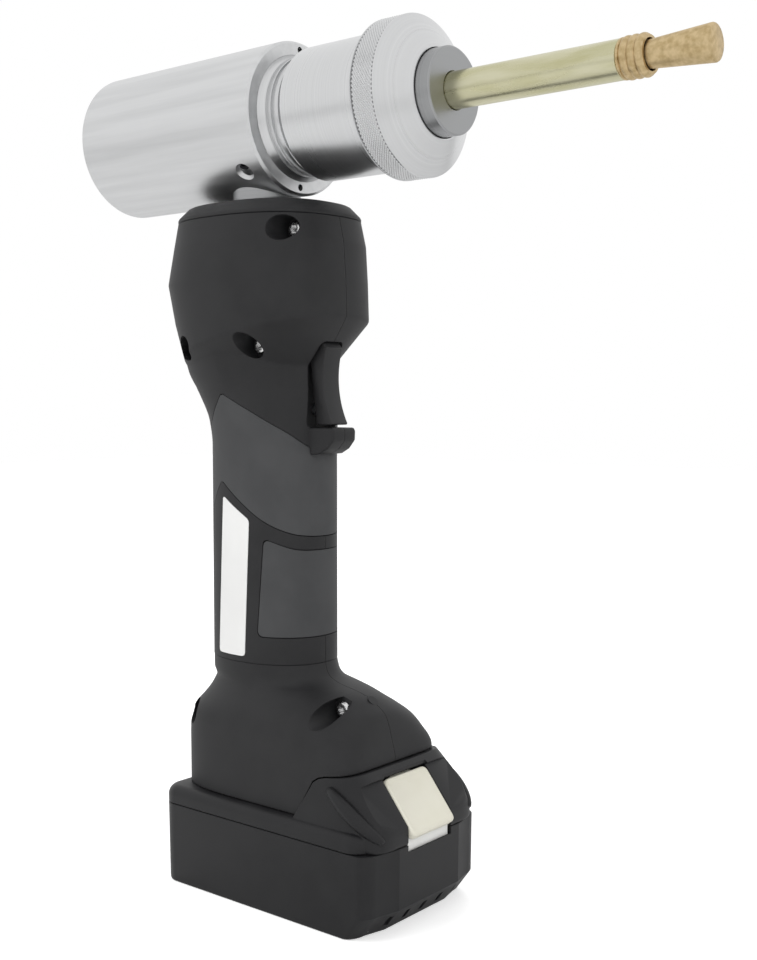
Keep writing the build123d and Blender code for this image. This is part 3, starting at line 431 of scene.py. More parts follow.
lengthwise, crosswise, upright, even = (0.12, 3, 3), (1, 0, 0), (0, 0, 1), (1, 1, 1)
metals = {  # dark and light tone, roughness, grain, its stretch, depth of the marks
    "brushedHead": ((0.6, 0.605, 0.61), (0.67, 0.675, 0.68), (0.36, 0.42), 90, lengthwise, 0.006, True),
    "turnedHead": ((0.6, 0.605, 0.61), (0.67, 0.675, 0.68), (0.26, 0.34), 1500, crosswise, 0.004),
    # darker steel on the neck: painted reflection of the dark collar above it
    "neckSteel": ((0.3, 0.305, 0.31), (0.38, 0.385, 0.39), (0.28, 0.36), 700, upright, 0.004),
    # dark floor between the knurl's teeth: painted shade in the grooves
    "knurlGap": ((0.16, 0.16, 0.165), (0.24, 0.24, 0.245), (0.4, 0.5), 900, crosswise, 0.01),
    "bushSteel": ((0.32, 0.325, 0.33), (0.38, 0.385, 0.39), (0.32, 0.4), 1500, crosswise, 0.004),
    "yellowZinc": ((0.5, 0.48, 0.29), (0.62, 0.6, 0.43), (0.22, 0.34), 90, (0.4, 2, 2), 0.01),
    "plugBrass": ((0.46, 0.34, 0.17), (0.64, 0.5, 0.29), (0.34, 0.5), 500, even, 0.02),
    "brightScrew": ((0.62, 0.62, 0.62), (0.8, 0.8, 0.8), (0.2, 0.34), 700, even, 0.02),
    "blackOxide": ((0.03, 0.03, 0.033), (0.05, 0.05, 0.055), (0.35, 0.5), 500, even, 0.02),
    "innerSteel": ((0.36, 0.37, 0.39), (0.5, 0.51, 0.53), (0.3, 0.45), 200, even, 0.02),
    "innerAluminium": ((0.5, 0.51, 0.53), (0.62, 0.63, 0.65), (0.35, 0.5), 200, even, 0.02),
    "contactBrass": ((0.6, 0.45, 0.2), (0.78, 0.6, 0.3), (0.25, 0.4), 300, even, 0.01),
}
plastics = {  # dark and light tone, roughness, grain, its depth, rounding of edges, gloss
    "blackHousing": ((0.015, 0.015, 0.016), (0.02, 0.02, 0.021), (0.5, 0.58), 2600, 0.05, 0.5, 0.28),
    "gripRubber": ((0.05, 0.051, 0.053), (0.06, 0.061, 0.063), (0.62, 0.7), 2600, 0.04, 0.4, 0.3),
    "blackTrigger": ((0.016, 0.016, 0.017), (0.02, 0.02, 0.021), (0.42, 0.5), 2200, 0.03, 0.4, 0.3),
    "blackPack": ((0.011, 0.011, 0.012), (0.015, 0.015, 0.016), (0.4, 0.5), 2600, 0.05, 0.5, 0.28),
    "creamButton": ((0.7, 0.68, 0.57), (0.76, 0.74, 0.64), (0.4, 0.5), 1800, 0.02, 0.5),
    "paleLeg": ((0.74, 0.74, 0.72), (0.8, 0.8, 0.78), (0.4, 0.5), 1800, 0.02, 0.4),
    "whiteLabel": ((0.78, 0.78, 0.77), (0.83, 0.83, 0.82), (0.35, 0.45), 900, 0.01),
    "sealRubber": ((0.02, 0.02, 0.02), (0.03, 0.03, 0.03), (0.6, 0.7), 1500, 0.03),
    "leadCover": ((0.3, 0.02, 0.02), (0.38, 0.03, 0.03), (0.5, 0.6), 1500, 0.02),
    "greenBoard": ((0.02, 0.16, 0.06), (0.03, 0.22, 0.09), (0.3, 0.45), 1500, 0.02),
    "innerPlastic": ((0.04, 0.04, 0.045), (0.06, 0.06, 0.065), (0.5, 0.6), 1500, 0.02),
    "cellSleeve": ((0.08, 0.2, 0.34), (0.12, 0.28, 0.44), (0.3, 0.4), 900, 0.01),
    "clearWindow": ((0.012, 0.012, 0.013), (0.02, 0.02, 0.021), (0.3, 0.4), 900, 0.005, 0.0, 0.25),
}
looks = {name: metalFinish(name, *row) for name, row in metals.items()}
looks.update({name: mouldedFinish(name, *row) for name, row in plastics.items()})
otherLook = {"polished_cap": "turnedHead", "cell_can": "cellSleeve"}


def lookOf(slot):  # the finish named after the slot, apart from the few named otherwise
    first, *rest = slot.split("_")
    return looks[otherLook.get(slot, first + "".join(word.title() for word in rest))]


for entry in frame["record"]["subparts"]:  # every CAD node that stays gets its own finish
    node = frame["nodes"][entry["node"]]
    node.data.materials.clear()
    node.data.materials.append(lookOf(entry["material_slot"]))
print("materials made")


# Head
headLow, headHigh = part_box("cylinder_body")
headZ = (headLow.z + headHigh.z) / 2 / mm
cylinder = {
    "rear": -85.8, "front": 15.3, "radius": 30.5, "edge": 1.0, "rearEdge": 0.8, "mouth": 25.0,
    "mouthDepth": 15.0, "bore": 24.0, "endWall": 10.0, "spannerRing": 27.3, "spannerHole": 1.35,
    "spannerDeep": 5, "spannerOut": 1, "neckX": -3.5, "neckHole": 14.05, "neckSeat": 287.5,
    "neckLow": 200, "portX": 4.0, "portTurn": 42.0, "portHole": 3.05, "portSink": 4.6,
    "portLevels": (-5, -1.7, 0.6, 6),
}


def makeCylinder():
    c = cylinder
    rear, front, radius, edge = c["rear"], c["front"], c["radius"], c["edge"]
    bore, deep = rear + c["endWall"], front - c["mouthDepth"]
    shell = turned("cylinderShell", [
        (rear, 0), (rear, radius - c["rearEdge"]), (rear + c["rearEdge"], radius), (front - edge, radius),
        (front, radius - edge), (front, c["mouth"]), (deep, c["mouth"]), (deep, c["bore"]),
        (bore, c["bore"]), (bore, 0),
    ], fineRound)
    carve(shell, spun("neckPocket", bar(c["neckLow"], c["neckSeat"], c["neckHole"]), c["neckX"]))
    for side in (-1, 1):
        outline = bar(front - c["spannerDeep"], front + c["spannerOut"], c["spannerHole"])
        hole = turned("spannerHole", outline, 24)
        hole.data.transform(Matrix.Translation((0, 0, side * c["spannerRing"] * mm)))
        carve(shell, hole)
    low, sink, rim, out = (radius + level for level in c["portLevels"])
    hole, wide = c["portHole"], c["portSink"]
    outline = [(low, 0), (low, hole), (sink, hole), (rim, wide), (out, wide), (out, 0)]
    port = spun("portHole", outline, segments=40)
    turn = Matrix.Rotation(math.radians(180 - c["portTurn"]), 4, "X")
    port.data.transform(Matrix.Translation((c["portX"] * mm, 0, headZ * mm)) @ turn)
    carve(shell, outward(port))
    return shade(shell, 25)


place(makeCylinder(), "head", "brushed_head", "cylinder_body")

neck = {
    "x": -3.5, "bottom": 240.0, "shaft": 12.0, "edge": 0.6, "foot": 280.1, "flare": 15.4, "lip": 0.4,
    "top": 14.0, "rise": 3.1, "curve": 1.8, "seat": 287.5,
}


def makeNeck():
    n = neck
    bottom, shaft, foot, top = n["bottom"], n["shaft"], n["foot"], n["top"]
    outline = [(bottom, 0), (bottom, shaft - n["edge"]), (bottom + n["edge"], shaft), (foot, shaft)]
    outline.append((foot, n["flare"]))
    for t in np.linspace(0, 1, 9):
        rise = foot + n["lip"] + (n["rise"] - n["lip"]) * t
        outline.append((rise, top + (n["flare"] - top) * (1 - t) ** n["curve"]))
    outline += [(n["seat"], top), (n["seat"], 0)]
    return shade(spun("swivelNeck", outline, n["x"]))


# the neck takes the darker steel, a painted reflection of the dark collar
place(makeNeck(), "head", "brushed_head", "swivel_neck", look="neckSteel")

gland = {
    "rear": 0.3, "face": 15.3, "outer": 24.95, "hub": 18.0, "land": 22.9, "sleeve": 28.0, "spigot": 20.95,
    "end": 40.0, "bore": 9.05,
    "grooves": [  # along from the hub's rear, radius
        (0, 23.7), (0.4, 23.5), (2.8, 23.5), (3, 23.3), (3, 22.3), (5.2, 22.3), (5.2, 23.3), (5.4, 23.5),
        (6.8, 23.5), (7, 23.3), (7, 22.3), (8, 22.3), (8.1, 22.9),
    ],
}


def makeGland():
    g = gland
    outline = [(g["rear"], g["bore"]), (g["rear"], g["outer"]), (g["face"], g["outer"])]
    outline += moved(g["grooves"], g["hub"], 0)
    outline += [(g["sleeve"], g["land"]), (g["sleeve"], g["spigot"]), (g["end"], g["spigot"])]
    outline.append((g["end"], g["bore"]))
    return shade(turned("glandRing", outline), 20)


place(makeGland(), "head", "brushed_head", "gland_ring", look="turnedHead")

sleeve = {"rear": 28.0, "front": 75.0, "radius": 26.0, "bore": 21.0, "edge": 0.5}


def makeSleeve():
    rear, front, radius, bore, edge = sleeve.values()
    outline = [(rear, bore), (rear, radius - edge), (rear + edge, radius), (front, radius), (front, bore)]
    return shade(turned("noseSleeve", outline, fineRound), 25)


place(makeSleeve(), "head", "brushed_head", "nose_sleeve", look="turnedHead")

bush = {
    "rear": 75.0, "step": 79.0, "front": 92.0, "flange": 20.4, "body": 16.1, "bore": 6.8, "pocket": 77.0,
    "small": 5.0, "edge": 0.6, "boreEdge": 0.4,
}


def makeBush():
    rear, step, front, flange, body, bore, pocket, small, edge, boreEdge = bush.values()
    return shade(turned("noseBush", [
        (rear, small), (rear, flange), (step, flange), (step, body), (front - edge, body),
        (front, body - edge), (front, bore + boreEdge), (front - boreEdge, bore), (pocket, bore),
        (pocket, small),
    ]), 25)


place(makeBush(), "head", "bush_steel", "nose_bush")

cap = {
    "rear": 66.0, "bandRear": 66.9, "bandFront": 76.9, "shoulder": 77.4, "front": 85.8, "radius": 29.9,
    "band": 29.5, "nose": 16.9, "hole": 16.5, "face": 80.3, "room": 20.8, "step": 75.4, "bore": 26.05,
    "edge": 0.5, "bandEdge": 0.15, "noseEdge": 0.75, "teethRound": 118, "teethAlong": 9,
    "toothLong": 0.74, "toothWide": 0.82, "toothHigh": 0.42, "toothTop": 0.22, "floorShort": 0.05,
    "floorLow": 0.2, "floorHigh": 0.03,
}


def makeCap():
    c = cap
    rear, front, radius, band = c["rear"], c["front"], c["radius"], c["band"]
    edge, lip = c["edge"], c["bandEdge"]
    return shade(turned("knurledCap", [
        (rear, c["bore"]), (rear, radius - edge), (rear + edge, radius), (c["bandRear"] - lip, radius),
        (c["bandRear"], band), (c["bandFront"], band), (c["bandFront"] + lip, radius),
        (c["shoulder"], radius), (front - edge, c["nose"] + c["noseEdge"]), (front, c["nose"]),
        (front, c["hole"]), (c["face"], c["hole"]), (c["face"], c["room"]), (c["step"], c["room"]),
        (c["step"], c["bore"]),
    ], fineRound), 20)


def knurlTree():  # rows of small diamond points set round a band
    sizes = ("Radius", "Start", "Pitch", "Long", "Wide", "High", "Height")
    sockets = {"Round": "Int", "Along": "Int", **dict.fromkeys(sizes, "Float"), "Finish": "Material"}
    tree, given = newTree("knurlRows", sockets)
    index = addNode(tree, "GeometryNodeInputIndex").outputs[0]
    row = reckon(tree, "FLOOR", reckon(tree, "DIVIDE", index, given["Round"]))
    column = reckon(tree, "MODULO", index, given["Round"])
    shift = reckon(tree, "MULTIPLY", reckon(tree, "MODULO", row, 2.0), 0.5)
    turn = reckon(tree, "DIVIDE", reckon(tree, "ADD", column, shift), given["Round"])
    angle = reckon(tree, "MULTIPLY", turn, math.tau)
    rise = reckon(tree, "MULTIPLY", given["Radius"], reckon(tree, "SINE", angle))
    spot = addNode(tree, "ShaderNodeCombineXYZ", {
        "X": reckon(tree, "ADD", given["Start"], reckon(tree, "MULTIPLY", row, given["Pitch"])),
        "Y": reckon(tree, "MULTIPLY", given["Radius"], reckon(tree, "COSINE", angle)),
        "Z": reckon(tree, "ADD", rise, given["Height"]),
    }).outputs[0]
    count = reckon(tree, "MULTIPLY", given["Round"], given["Along"])
    points = addNode(tree, "GeometryNodePoints", {"Count": count, "Position": spot})
    shape = {"Vertices": 4, "Radius Top": cap["toothTop"], "Radius Bottom": 1.0, "Depth": 1.0}
    tooth = addNode(tree, "GeometryNodeMeshCone", shape, fill_type="NGON")
    sides = {"X": given["Long"], "Y": given["Wide"], "Z": given["High"]}
    lean = addNode(tree, "ShaderNodeCombineXYZ", {"X": reckon(tree, "SUBTRACT", angle, math.pi / 2)})
    return closeTree(tree, given, {
        "Points": points.outputs[0], "Instance": tooth.outputs["Mesh"], "Rotation": lean.outputs[0],
        "Scale": addNode(tree, "ShaderNodeCombineXYZ", sides).outputs[0],
    })


def makeKnurl():
    c = cap
    rows = c["teethAlong"] * 2 - 1
    pitch = (c["bandFront"] - c["bandRear"] - 2 * c["toothLong"]) / (rows - 1)
    return grownPiece("knurlBand", [(0, 0, 0)], knurlTree(), {
        "Round": c["teethRound"], "Along": rows, "Radius": c["band"] * mm, "Height": headZ * mm,
        "Start": (c["bandRear"] + c["toothLong"]) * mm, "Pitch": pitch * mm, "Long": c["toothLong"] * mm,
        "Wide": c["toothWide"] * mm, "High": c["toothHigh"] * mm, "Finish": looks["turnedHead"],
    })


def makeGapFloor():
    rear, front = cap["bandRear"] + cap["floorShort"], cap["bandFront"] - cap["floorShort"]
    low, high = cap["band"] - cap["floorLow"], cap["band"] + cap["floorHigh"]
    return shade(turned("knurlFloor", [(rear, low), (rear, high), (front, high), (front, low)], fineRound))


place(makeCap(), "cap", "polished_cap", "knurled_cap")
place(makeKnurl(), "cap", "polished_cap")
# the floor under the teeth takes the dark finish, painted shade between the teeth
place(makeGapFloor(), "cap", "polished_cap", look="knurlGap")
print("head made")

tube = {"rear": 77.0, "seat": 92.0, "front": 161.2, "radius": 6.8, "bore": 4.9, "edge": 0.35, "play": 0.05}


def makeTube():
    rear, seat, front, radius, bore, edge, play = tube.values()
    return shade(turned("positionerTube", [
        (rear, bore), (rear, radius - play), (seat, radius - play), (seat, radius), (front - edge, radius),
        (front, radius - edge), (front, bore),
    ], 96))


place(makeTube(), "head", "yellow_zinc", "positioner_tube")

ring = {
    "rear": 161.2, "front": 171.0, "land": 6.95, "edge": 0.2, "valley": 6.45, "crest": 7.25, "ribs": 3,
    "pitch": 2.8, "bulge": 0.7, "last": 0.4, "lip": 0.1, "boreRear": 4.73, "boreFront": 5.41,
}


def makeRing():
    r = ring
    rear, front, land, edge, valley = r["rear"], r["front"], r["land"], r["edge"], r["valley"]
    start = front - r["last"] - r["ribs"] * r["pitch"]
    outline = [(rear, r["boreRear"]), (rear, land - edge), (rear + edge, land), (start - r["lip"], land)]
    for i in range(r["ribs"]):
        for k in np.linspace(0.04, 0.96, 9):
            swell = math.sin(math.pi * k) ** r["bulge"]
            outline.append((start + (i + k) * r["pitch"], valley + (r["crest"] - valley) * swell))
    outline += [(front, valley - r["lip"]), (front, r["boreFront"])]
    return shade(turned("plugRing", outline, 96), 40)


place(makeRing(), "head", "plug_brass", "plug_ring")

pin = {
    "rear": 161.8, "ring": 171.0, "tip": 193.7, "small": 4.7, "large": 6.3, "edge": 0.7, "round": 0.25,
    "hole": 2.55, "holeEnd": 166.8,
}


def makePin():
    rear, inRing, tip, small, large, edge, rounded, hole, holeEnd = pin.values()
    grow = (large - small) / (tip - inRing)
    cone = [(x, small + (x - inRing) * grow) for x in (rear, tip - edge)]
    return shade(turned("plugPin", [
        (rear, hole), *cone, (tip - rounded, large - rounded), (tip, large - edge), (tip, 0), (holeEnd, 0),
        (holeEnd, hole),
    ], 96))


place(makePin(), "ram", "plug_brass", "plug_pin")
print("nose made")


# Housing
grip = {
    "seam": 94.0, "depth": 1.5, "groove": 0.35, "proud": 0.6, "skin": (98, 206), "core": (97, 207),
    "out": 46,
}
bodyTable = [
    (94.0, -28.0, 28.0, 21.3, 2.2, 2.2),
    (182.0, -28.0, 28.0, 21.3, 2.2, 2.2),
    (192.0, -29.0, 28.0, 22.3, 2.2, 2.2),
    (203.0, -34.0, 28.0, 24.7, 2.0, 2.15),
    (213.0, -40.0, 28.4, 27.5, 1.6, 2.1),
    (224.0, -42.0, 29.0, 29.3, 1.42, 2.1),
    (236.0, -42.0, 31.0, 29.7, 1.5, 2.1),
    (273.2, -39.0, 32.5, 29.3, 2.2, 2.2),
]
swellTable = [
    (210.0, -33.4, 40.4, 33.0, 2.5),
    (220.0, -37.5, 40.1, 33.1, 2.5),
    (232.0, -42.1, 39.8, 33.3, 2.5),
    (248.5, -46.5, 39.4, 33.5, 2.5),
    (263.2, -42.6, 38.3, 33.0, 2.5),
    (273.2, -40.4, 36.0, 31.8, 2.5),
]
housing = {
    "chin": (-42.6, 41.4, 33.2, 2.5), "creaseZ": 225.5, "creaseTilt": 13.0, "chinSlope": 1.05,
    "blend": 0.45, "swellLow": 206.0, "centerX": -4.0, "far": 70.0, "halvings": 40, "top": 273.2,
    "slotTop": 224.0, "slotBottom": 189.7, "slotBack": 23.0, "slotFront": 60, "slotHalfTop": 6.6,
    "slotHalfBottom": 9.0, "slotRound": 2.5, "hubFront": 32.8, "hubHalf": 5.4, "hubTop": 232.0, "lap": 1,
    "well": 5.0, "bossWall": 0.8,
    "screws": [(27.5, 267.3, -15.0), (11.3, 222.3, -18.0), (-23.2, 222.0, -20.0)],
    "rest": [
        (24, 189.7), (38.0, 189.7), (38.8, 188.4), (38.6, 184.6), (35.4, 181.2), (31.4, 179.2), (24, 178.4),
    ],
    "restWide": 8.2, "restNarrow": 6.8, "restRound": 1.6, "wall": 2.4, "roomStep": 1.8,
    "roomColumns": 120, "neckHole": 13.0, "neckReach": 9,
}


def ovalField(x, y, rear, front, half, square):  # roughly the distance outside an oval, in mm
    u = np.abs((x - (rear + front) / 2) / ((front - rear) / 2))
    v = np.abs(y / half)
    return ((u**square + v**square) ** (1 / square) - 1) * half


def softMost(a, b, width):  # larger of the two, eased where they meet
    ease = np.clip(0.5 + (a - b) / (2 * width), 0, 1)
    return b + (a - b) * ease + width * ease * (1 - ease)


def bodyField(x, y, z):
    h = housing
    rear, front, half, ahead, behind = readTable(bodyTable, z)
    core = ovalField(x, y, rear, front, half, np.where(x < (rear + front) / 2, behind, ahead))
    swell = ovalField(x, y, *readTable(swellTable, z, np.interp))
    turn = math.radians(h["creaseTilt"])
    up = z - h["creaseZ"]
    along, rise = x * math.cos(turn) + up * math.sin(turn), up * math.cos(turn) - x * math.sin(turn)
    rear, front, half, square = h["chin"]
    grown = np.maximum(h["chinSlope"] * rise, 1.0 - half)
    chin = ovalField(along, y, rear - grown, front + grown, half + grown, square)
    upper = softMost(swell, chin, h["blend"])
    upper = np.where(z < h["swellLow"], core, upper)
    return -softMost(-core, -upper, h["blend"])


def bodySkin(name, low, high, proud=0.0, step=0.9, columns=200):  # the handle between two heights
    middleX = housing["centerX"]
    heights = np.linspace(low, high, int((high - low) / step) + 2)
    turns = np.linspace(0, math.tau, columns, endpoint=False)
    z, turn = np.meshgrid(heights, turns, indexing="ij")
    near, far = np.zeros(z.shape), np.full(z.shape, housing["far"])
    for _ in range(housing["halvings"]):
        middle = (near + far) / 2
        inside = bodyField(middleX + middle * np.cos(turn), middle * np.sin(turn), z) < proud
        near, far = np.where(inside, middle, near), np.where(inside, far, middle)
    rows = np.stack([middleX + near * np.cos(turn), near * np.sin(turn), z], 2)
    return rowsPiece(name, list(rows))


upperGrip = {
    "crown": [(-22, 187.6), (-12.6, 196.8), (-6.4, 202.8)],
    "fall": [(-5, 203), (2.5, 199), (11.2, 194.2), (22, 187), (29, 178.6)],
    "lower": [(29, 145.8), (21.9, 147.6), (10, 153.6), (-9.4, 167.2)],
    "spine": [(-11.2, 167.2), (-16.5, 160), (-20.6, 150), (-21.6, 138)],
    "bottom": 112,
}
lowerGrip = {"top": (24.6, 140.2), "knee": (12.6, 145), "heel": (9.6, 105.2), "corner": 3.0}


def upperOutline(grow):
    g, out = upperGrip, grip["out"]
    line = smoothLine(moved(g["crown"], 0, grow)) + moved(smoothLine(g["fall"]), 0, grow)
    line += [(out, g["fall"][-1][1] + grow), (out, g["lower"][0][1] - grow)]
    line += moved(smoothLine(g["lower"]), 0, -grow) + moved(smoothLine(g["spine"]), grow, 0)
    low = g["bottom"] - grow
    return line + [(g["spine"][-1][0] + grow, low), (-out, low), (-out, g["crown"][0][1] + grow)]


def lowerOutline(grow, steps=7):
    (topX, topZ), (kneeX, kneeZ), (heelX, heelZ) = lowerGrip["top"], lowerGrip["knee"], lowerGrip["heel"]
    inner = [(topX, topZ + grow), (kneeX - grow, kneeZ + grow), (heelX - grow, heelZ - grow)]
    corners = [(grip["out"], topZ + grow)] + inner + [(grip["out"], heelZ - grow)]
    rounded = roundCorners(corners, lowerGrip["corner"], steps - 1)
    return corners[:1] + rounded[steps:4 * steps] + corners[4:]


def gripSkin(name, outline, grow=0.0, proud=0.0):
    skin = bodySkin(name, *grip["skin"], proud)
    carve(skin, prism("gripOutline", outline(grow), -past, past), "INTERSECT")
    return carve(skin, bodySkin("gripCore", *grip["core"], -grip["depth"]))


def makeRoom():  # hollow of the handle, less the screw bosses and the trigger's slot
    h = housing
    wall = h["wall"]
    low, high = grip["seam"] + wall, h["top"] - wall
    room = bodySkin("housingRoom", low, high, -wall, h["roomStep"], h["roomColumns"])
    drill(room, h["screws"], h["well"] + h["bossWall"], wall)
    side = h["slotHalfBottom"] + wall
    deep, high = (h["slotBack"] - wall, h["slotFront"]), (h["slotBottom"] - wall, h["hubTop"] + wall)
    return carve(room, slab("slotWall", deep, (-side, side), high))


def makeHousing():
    h = housing
    body = bodySkin("housing", grip["seam"], h["top"])
    carve(body, makeRoom())
    hole = bar(h["top"] - h["neckReach"], h["top"] + h["neckReach"], h["neckHole"])
    carve(body, spun("neckRoom", hole, neck["x"]))
    rest = prism("fingerRest", h["rest"], -1, 1)
    ends = (h["rest"][0][0], h["rest"][2][0])
    for corner in rest.data.vertices:
        corner.co.y *= np.interp(corner.co.x / mm, ends, (h["restWide"], h["restNarrow"]))
    carve(body, soften(rest, h["restRound"], 4, 25), "UNION")
    low, high = h["slotHalfBottom"], h["slotHalfTop"]
    slot = [(-low, h["slotBottom"]), (low, h["slotBottom"]), (high, h["slotTop"]), (-high, h["slotTop"])]
    carve(body, endPrism("triggerSlot", roundCorners(slot, h["slotRound"]), h["slotBack"], h["slotFront"]))
    hubX, hubZ = (h["slotBack"] - h["lap"], h["hubFront"]), (h["slotTop"] - h["lap"], h["hubTop"])
    carve(body, slab("hubRoom", hubX, (-h["hubHalf"], h["hubHalf"]), hubZ))
    drill(body, h["screws"], h["well"])
    for outline in (upperOutline, lowerOutline):
        carve(body, gripSkin("gripRecess", outline, grip["groove"], grip["proud"]))
    return body


placeHalves(makeHousing(), (("housingRight", "housing_right"), ("housingLeft", "housing_left")))
place(shade(gripSkin("upperGrip", upperOutline)), "handle", "grip_rubber", "upper_grip")
place(shade(gripSkin("lowerGrip", lowerOutline)), "handle", "grip_rubber", "lower_grip")
print("housing made")

collar = {
    "section": (-40.4, 36.0, 31.8, 2.5), "columns": 160, "hole": 12.4, "holeX": -3.5,
    "holeSpan": (260, 290),
    "rows": [  # height, inset
        (273.35, 0.35), (273.7, 0.0), (274.5, 0.0), (275.2, 0.35), (279.0, 3.9), (279.5, 4.9), (279.7, 6.1),
    ],
}


def makeCollar():
    c = collar
    rear, front, half, square = c["section"]
    rows = []
    for z, inset in c["rows"]:
        rows.append(ovalRow(z, rear + inset, front - inset, half - inset, square, c["columns"]))
    hole = spun("neckHole", bar(*c["holeSpan"], c["hole"]), c["holeX"])
    return carve(rowsPiece("topCollar", rows), hole)


place(shade(makeCollar(), 40), "handle", "black_housing", "top_collar")

label = {
    "corners": [(-9.4, 161.6), (5.8, 152.4), (3.2, 96.4), (-13.2, 96.4)], "corner": 1.8, "thick": 0.22,
    "sunk": 0.02, "skin": (95, 165), "back": (94.5, 166),
}


def makeLabel():
    skin = bodySkin("labelPlate", *label["skin"], label["thick"])
    outline = roundCorners(label["corners"], label["corner"])
    carve(skin, prism("labelOutline", outline, -past, 0), "INTERSECT")
    return carve(skin, bodySkin("labelBack", *label["back"], -label["sunk"]))


place(shade(makeLabel()), "handle", "white_label", "label_plate")

trigger = {
    "half": 5.0, "top": (33.4, 221.4), "middle": (31.6, 207.0), "bottom": (36.1, 191.3),
    "pivot": (27.0, 227.0), "hub": 3.6, "hole": 1.55, "holeOut": 20, "neckHalf": 2.6, "neckLow": 221.0,
    "corner": (32.0, 223.0), "back": [(35.6, 190.8), (28.2, 190.8), (26.3, 205.0)],
}


def throughArc(a, m, b, steps):
    (ax, az), (mx, mz), (bx, bz) = a, m, b
    d = 2 * (ax * (mz - bz) + mx * (bz - az) + bx * (az - mz))
    sa, sm, sb = (x**2 + z**2 for x, z in (a, m, b))
    ux = (sa * (mz - bz) + sm * (bz - az) + sb * (az - mz)) / d
    uz = (sa * (bx - mx) + sm * (ax - bx) + sb * (mx - ax)) / d
    radius = math.hypot(ax - ux, az - uz)
    first, last = (math.degrees(math.atan2(z - uz, x - ux)) % 360 for x, z in (a, b))
    return arc(ux, uz, radius, first, last, steps)


def makeTrigger():
    k = trigger
    px, pz = k["pivot"]
    back, front = px - k["neckHalf"], px + k["neckHalf"]
    line = throughArc(k["top"], k["middle"], k["bottom"], 22) + k["back"]
    line += [(back, k["neckLow"]), (back, pz), (front, pz), k["corner"]]
    body = soften(prism("trigger", line, -k["half"], k["half"]), 1.0, 3)
    carve(body, rodAcross("hub", k["hub"], px, pz, -k["half"], k["half"]), "UNION")
    return carve(body, rodAcross("pivotHole", k["hole"], px, pz, -k["holeOut"], k["holeOut"]))


place(shade(makeTrigger(), 35), "trigger", "black_trigger", "trigger")
print("trigger made")


# Foot
foot = {
    "wall": 2.4, "well": 5.0, "bossWall": 0.8, "squareRear": 4.0, "inner": 0.3, "low": -5,
    "under": [(40.0, 40.7), (48.5, 55.5), (51.2, 57.3), (54.5, 58.2), (90.0, 62.6)],
    "screws": [(45.7, 78.6, -8.0), (-24.5, 70.0, -17.0)],
}
footTable = [
    (40.7, -31.6, 66.0, 31.0, 8.0),
    (60.5, -31.6, 64.6, 31.0, 8.0),
    (68.0, -31.6, 62.7, 30.4, 5.0),
    (73.0, -31.3, 61.3, 29.0, 3.6),
    (77.0, -30.8, 59.3, 26.8, 2.6),
    (80.0, -30.3, 55.5, 24.6, 2.2),
    (82.5, -29.9, 51.0, 23.0, 2.0),
    (84.4, -29.5, 44.5, 22.0, 1.9),
    (86.0, -29.1, 36.0, 21.6, 1.95),
    (88.5, -28.5, 30.4, 21.3, 2.15),
    (91.0, -28.1, 28.8, 21.3, 2.2),
    (93.85, -28.0, 28.0, 21.3, 2.2),
]


def footSkin(name, step, columns=96, inset=0.0, lower=0.0):
    return ovalLoft(name, footTable, step, columns, inset, lower, foot["squareRear"])


def makeFoot():
    f = foot
    wall = f["wall"]
    shell = footSkin("foot", 0.8, 160)
    carve(shell, footSkin("footRoom", 1.6, inset=wall, lower=wall))
    inside = [rodAcross("boss", f["well"] + f["bossWall"], x, z, -past, -y) for x, z, y in f["screws"]]
    upper = [(x - wall, z + wall) for x, z in f["under"][1:]]
    inside.append(prism("footFloor", f["under"][1:] + upper[::-1], -packPast, packPast))
    for piece in inside:
        carve(piece, footSkin("footSkin", 1.6, inset=f["inner"]), "INTERSECT")
        carve(shell, piece, "UNION")
    drill(shell, f["screws"], f["well"])
    below = [(f["under"][0][0], f["low"])] + f["under"] + [(f["under"][-1][0], f["low"])]
    return carve(shell, prism("footUnder", below, -past, past))


placeHalves(makeFoot(), (("footRight", "foot_right"), ("footLeft", "foot_left")))

rails = {"x": (-29.0, 40.0), "right": (-29.8, -18.4), "left": (18.4, 29.8), "z": (43.5, 49.4), "inset": 1.0}
for name, y in (("railRight", rails["right"]), ("railLeft", rails["left"])):
    rail = slab(name, rails["x"], y, rails["z"])
    carve(rail, footSkin("footSkin", 2.4, inset=rails["inset"]), "INTERSECT")
    place(shade(rail), "handle", "black_housing")
print("foot made")


# Battery
pack = {
    "rear": -32.3, "front": 81.7, "half": 36.0, "corner": 8.0, "least": 0.8, "seam": 33.2, "draft": 0.46,
    "edge": 1.0, "creaseY": 19.0, "creaseDrop": 2.3, "toe": 7.0, "toeHigh": 9.5, "heel": 8.0, "out": 5,
    "slits": 5, "slitPitch": 10.5, "slitWide": 2.5, "slitLong": 5.0, "slitDeep": 1.4, "ledge": 40.3,
    "ledgeFront": 77.0, "ledgeRound": 4.0, "legFloor": 20.9, "mouthFloor": 30.4, "legRoom": 40,
    "below": [(-0.35, 0.0), (-0.1, 0.3)], "above": [(0.1, 0.3), (0.4, 0.0)],  # height from the seam, inset
}
button = {
    "half": 13.3, "top": (69.3, 55.9), "tip": (84.6, 36.9), "corner": 2.6, "frameDeep": 0.4, "gap": 0.4,
    "skin": [(3.2, 0.0), (0.9, 0.0), (0.35, 0.2), (0.1, 0.55), (0.0, 1.2), (0.35, 1.8)],  # depth, inset
    "legRear": 78.4, "legThick": 2.2, "legInset": 0.2, "leg": (25.5, 38.0), "hookHalf": 7.0,
    "hookRear": 56.0, "hookLow": 3.4, "hookHigh": 1.2, "hookGap": 0.6, "toothLong": 4.5, "tooth": 57.8,
    "springX": 68.7, "springTop": 46.5, "springRadius": 3.0, "bossTop": 3.3,
}


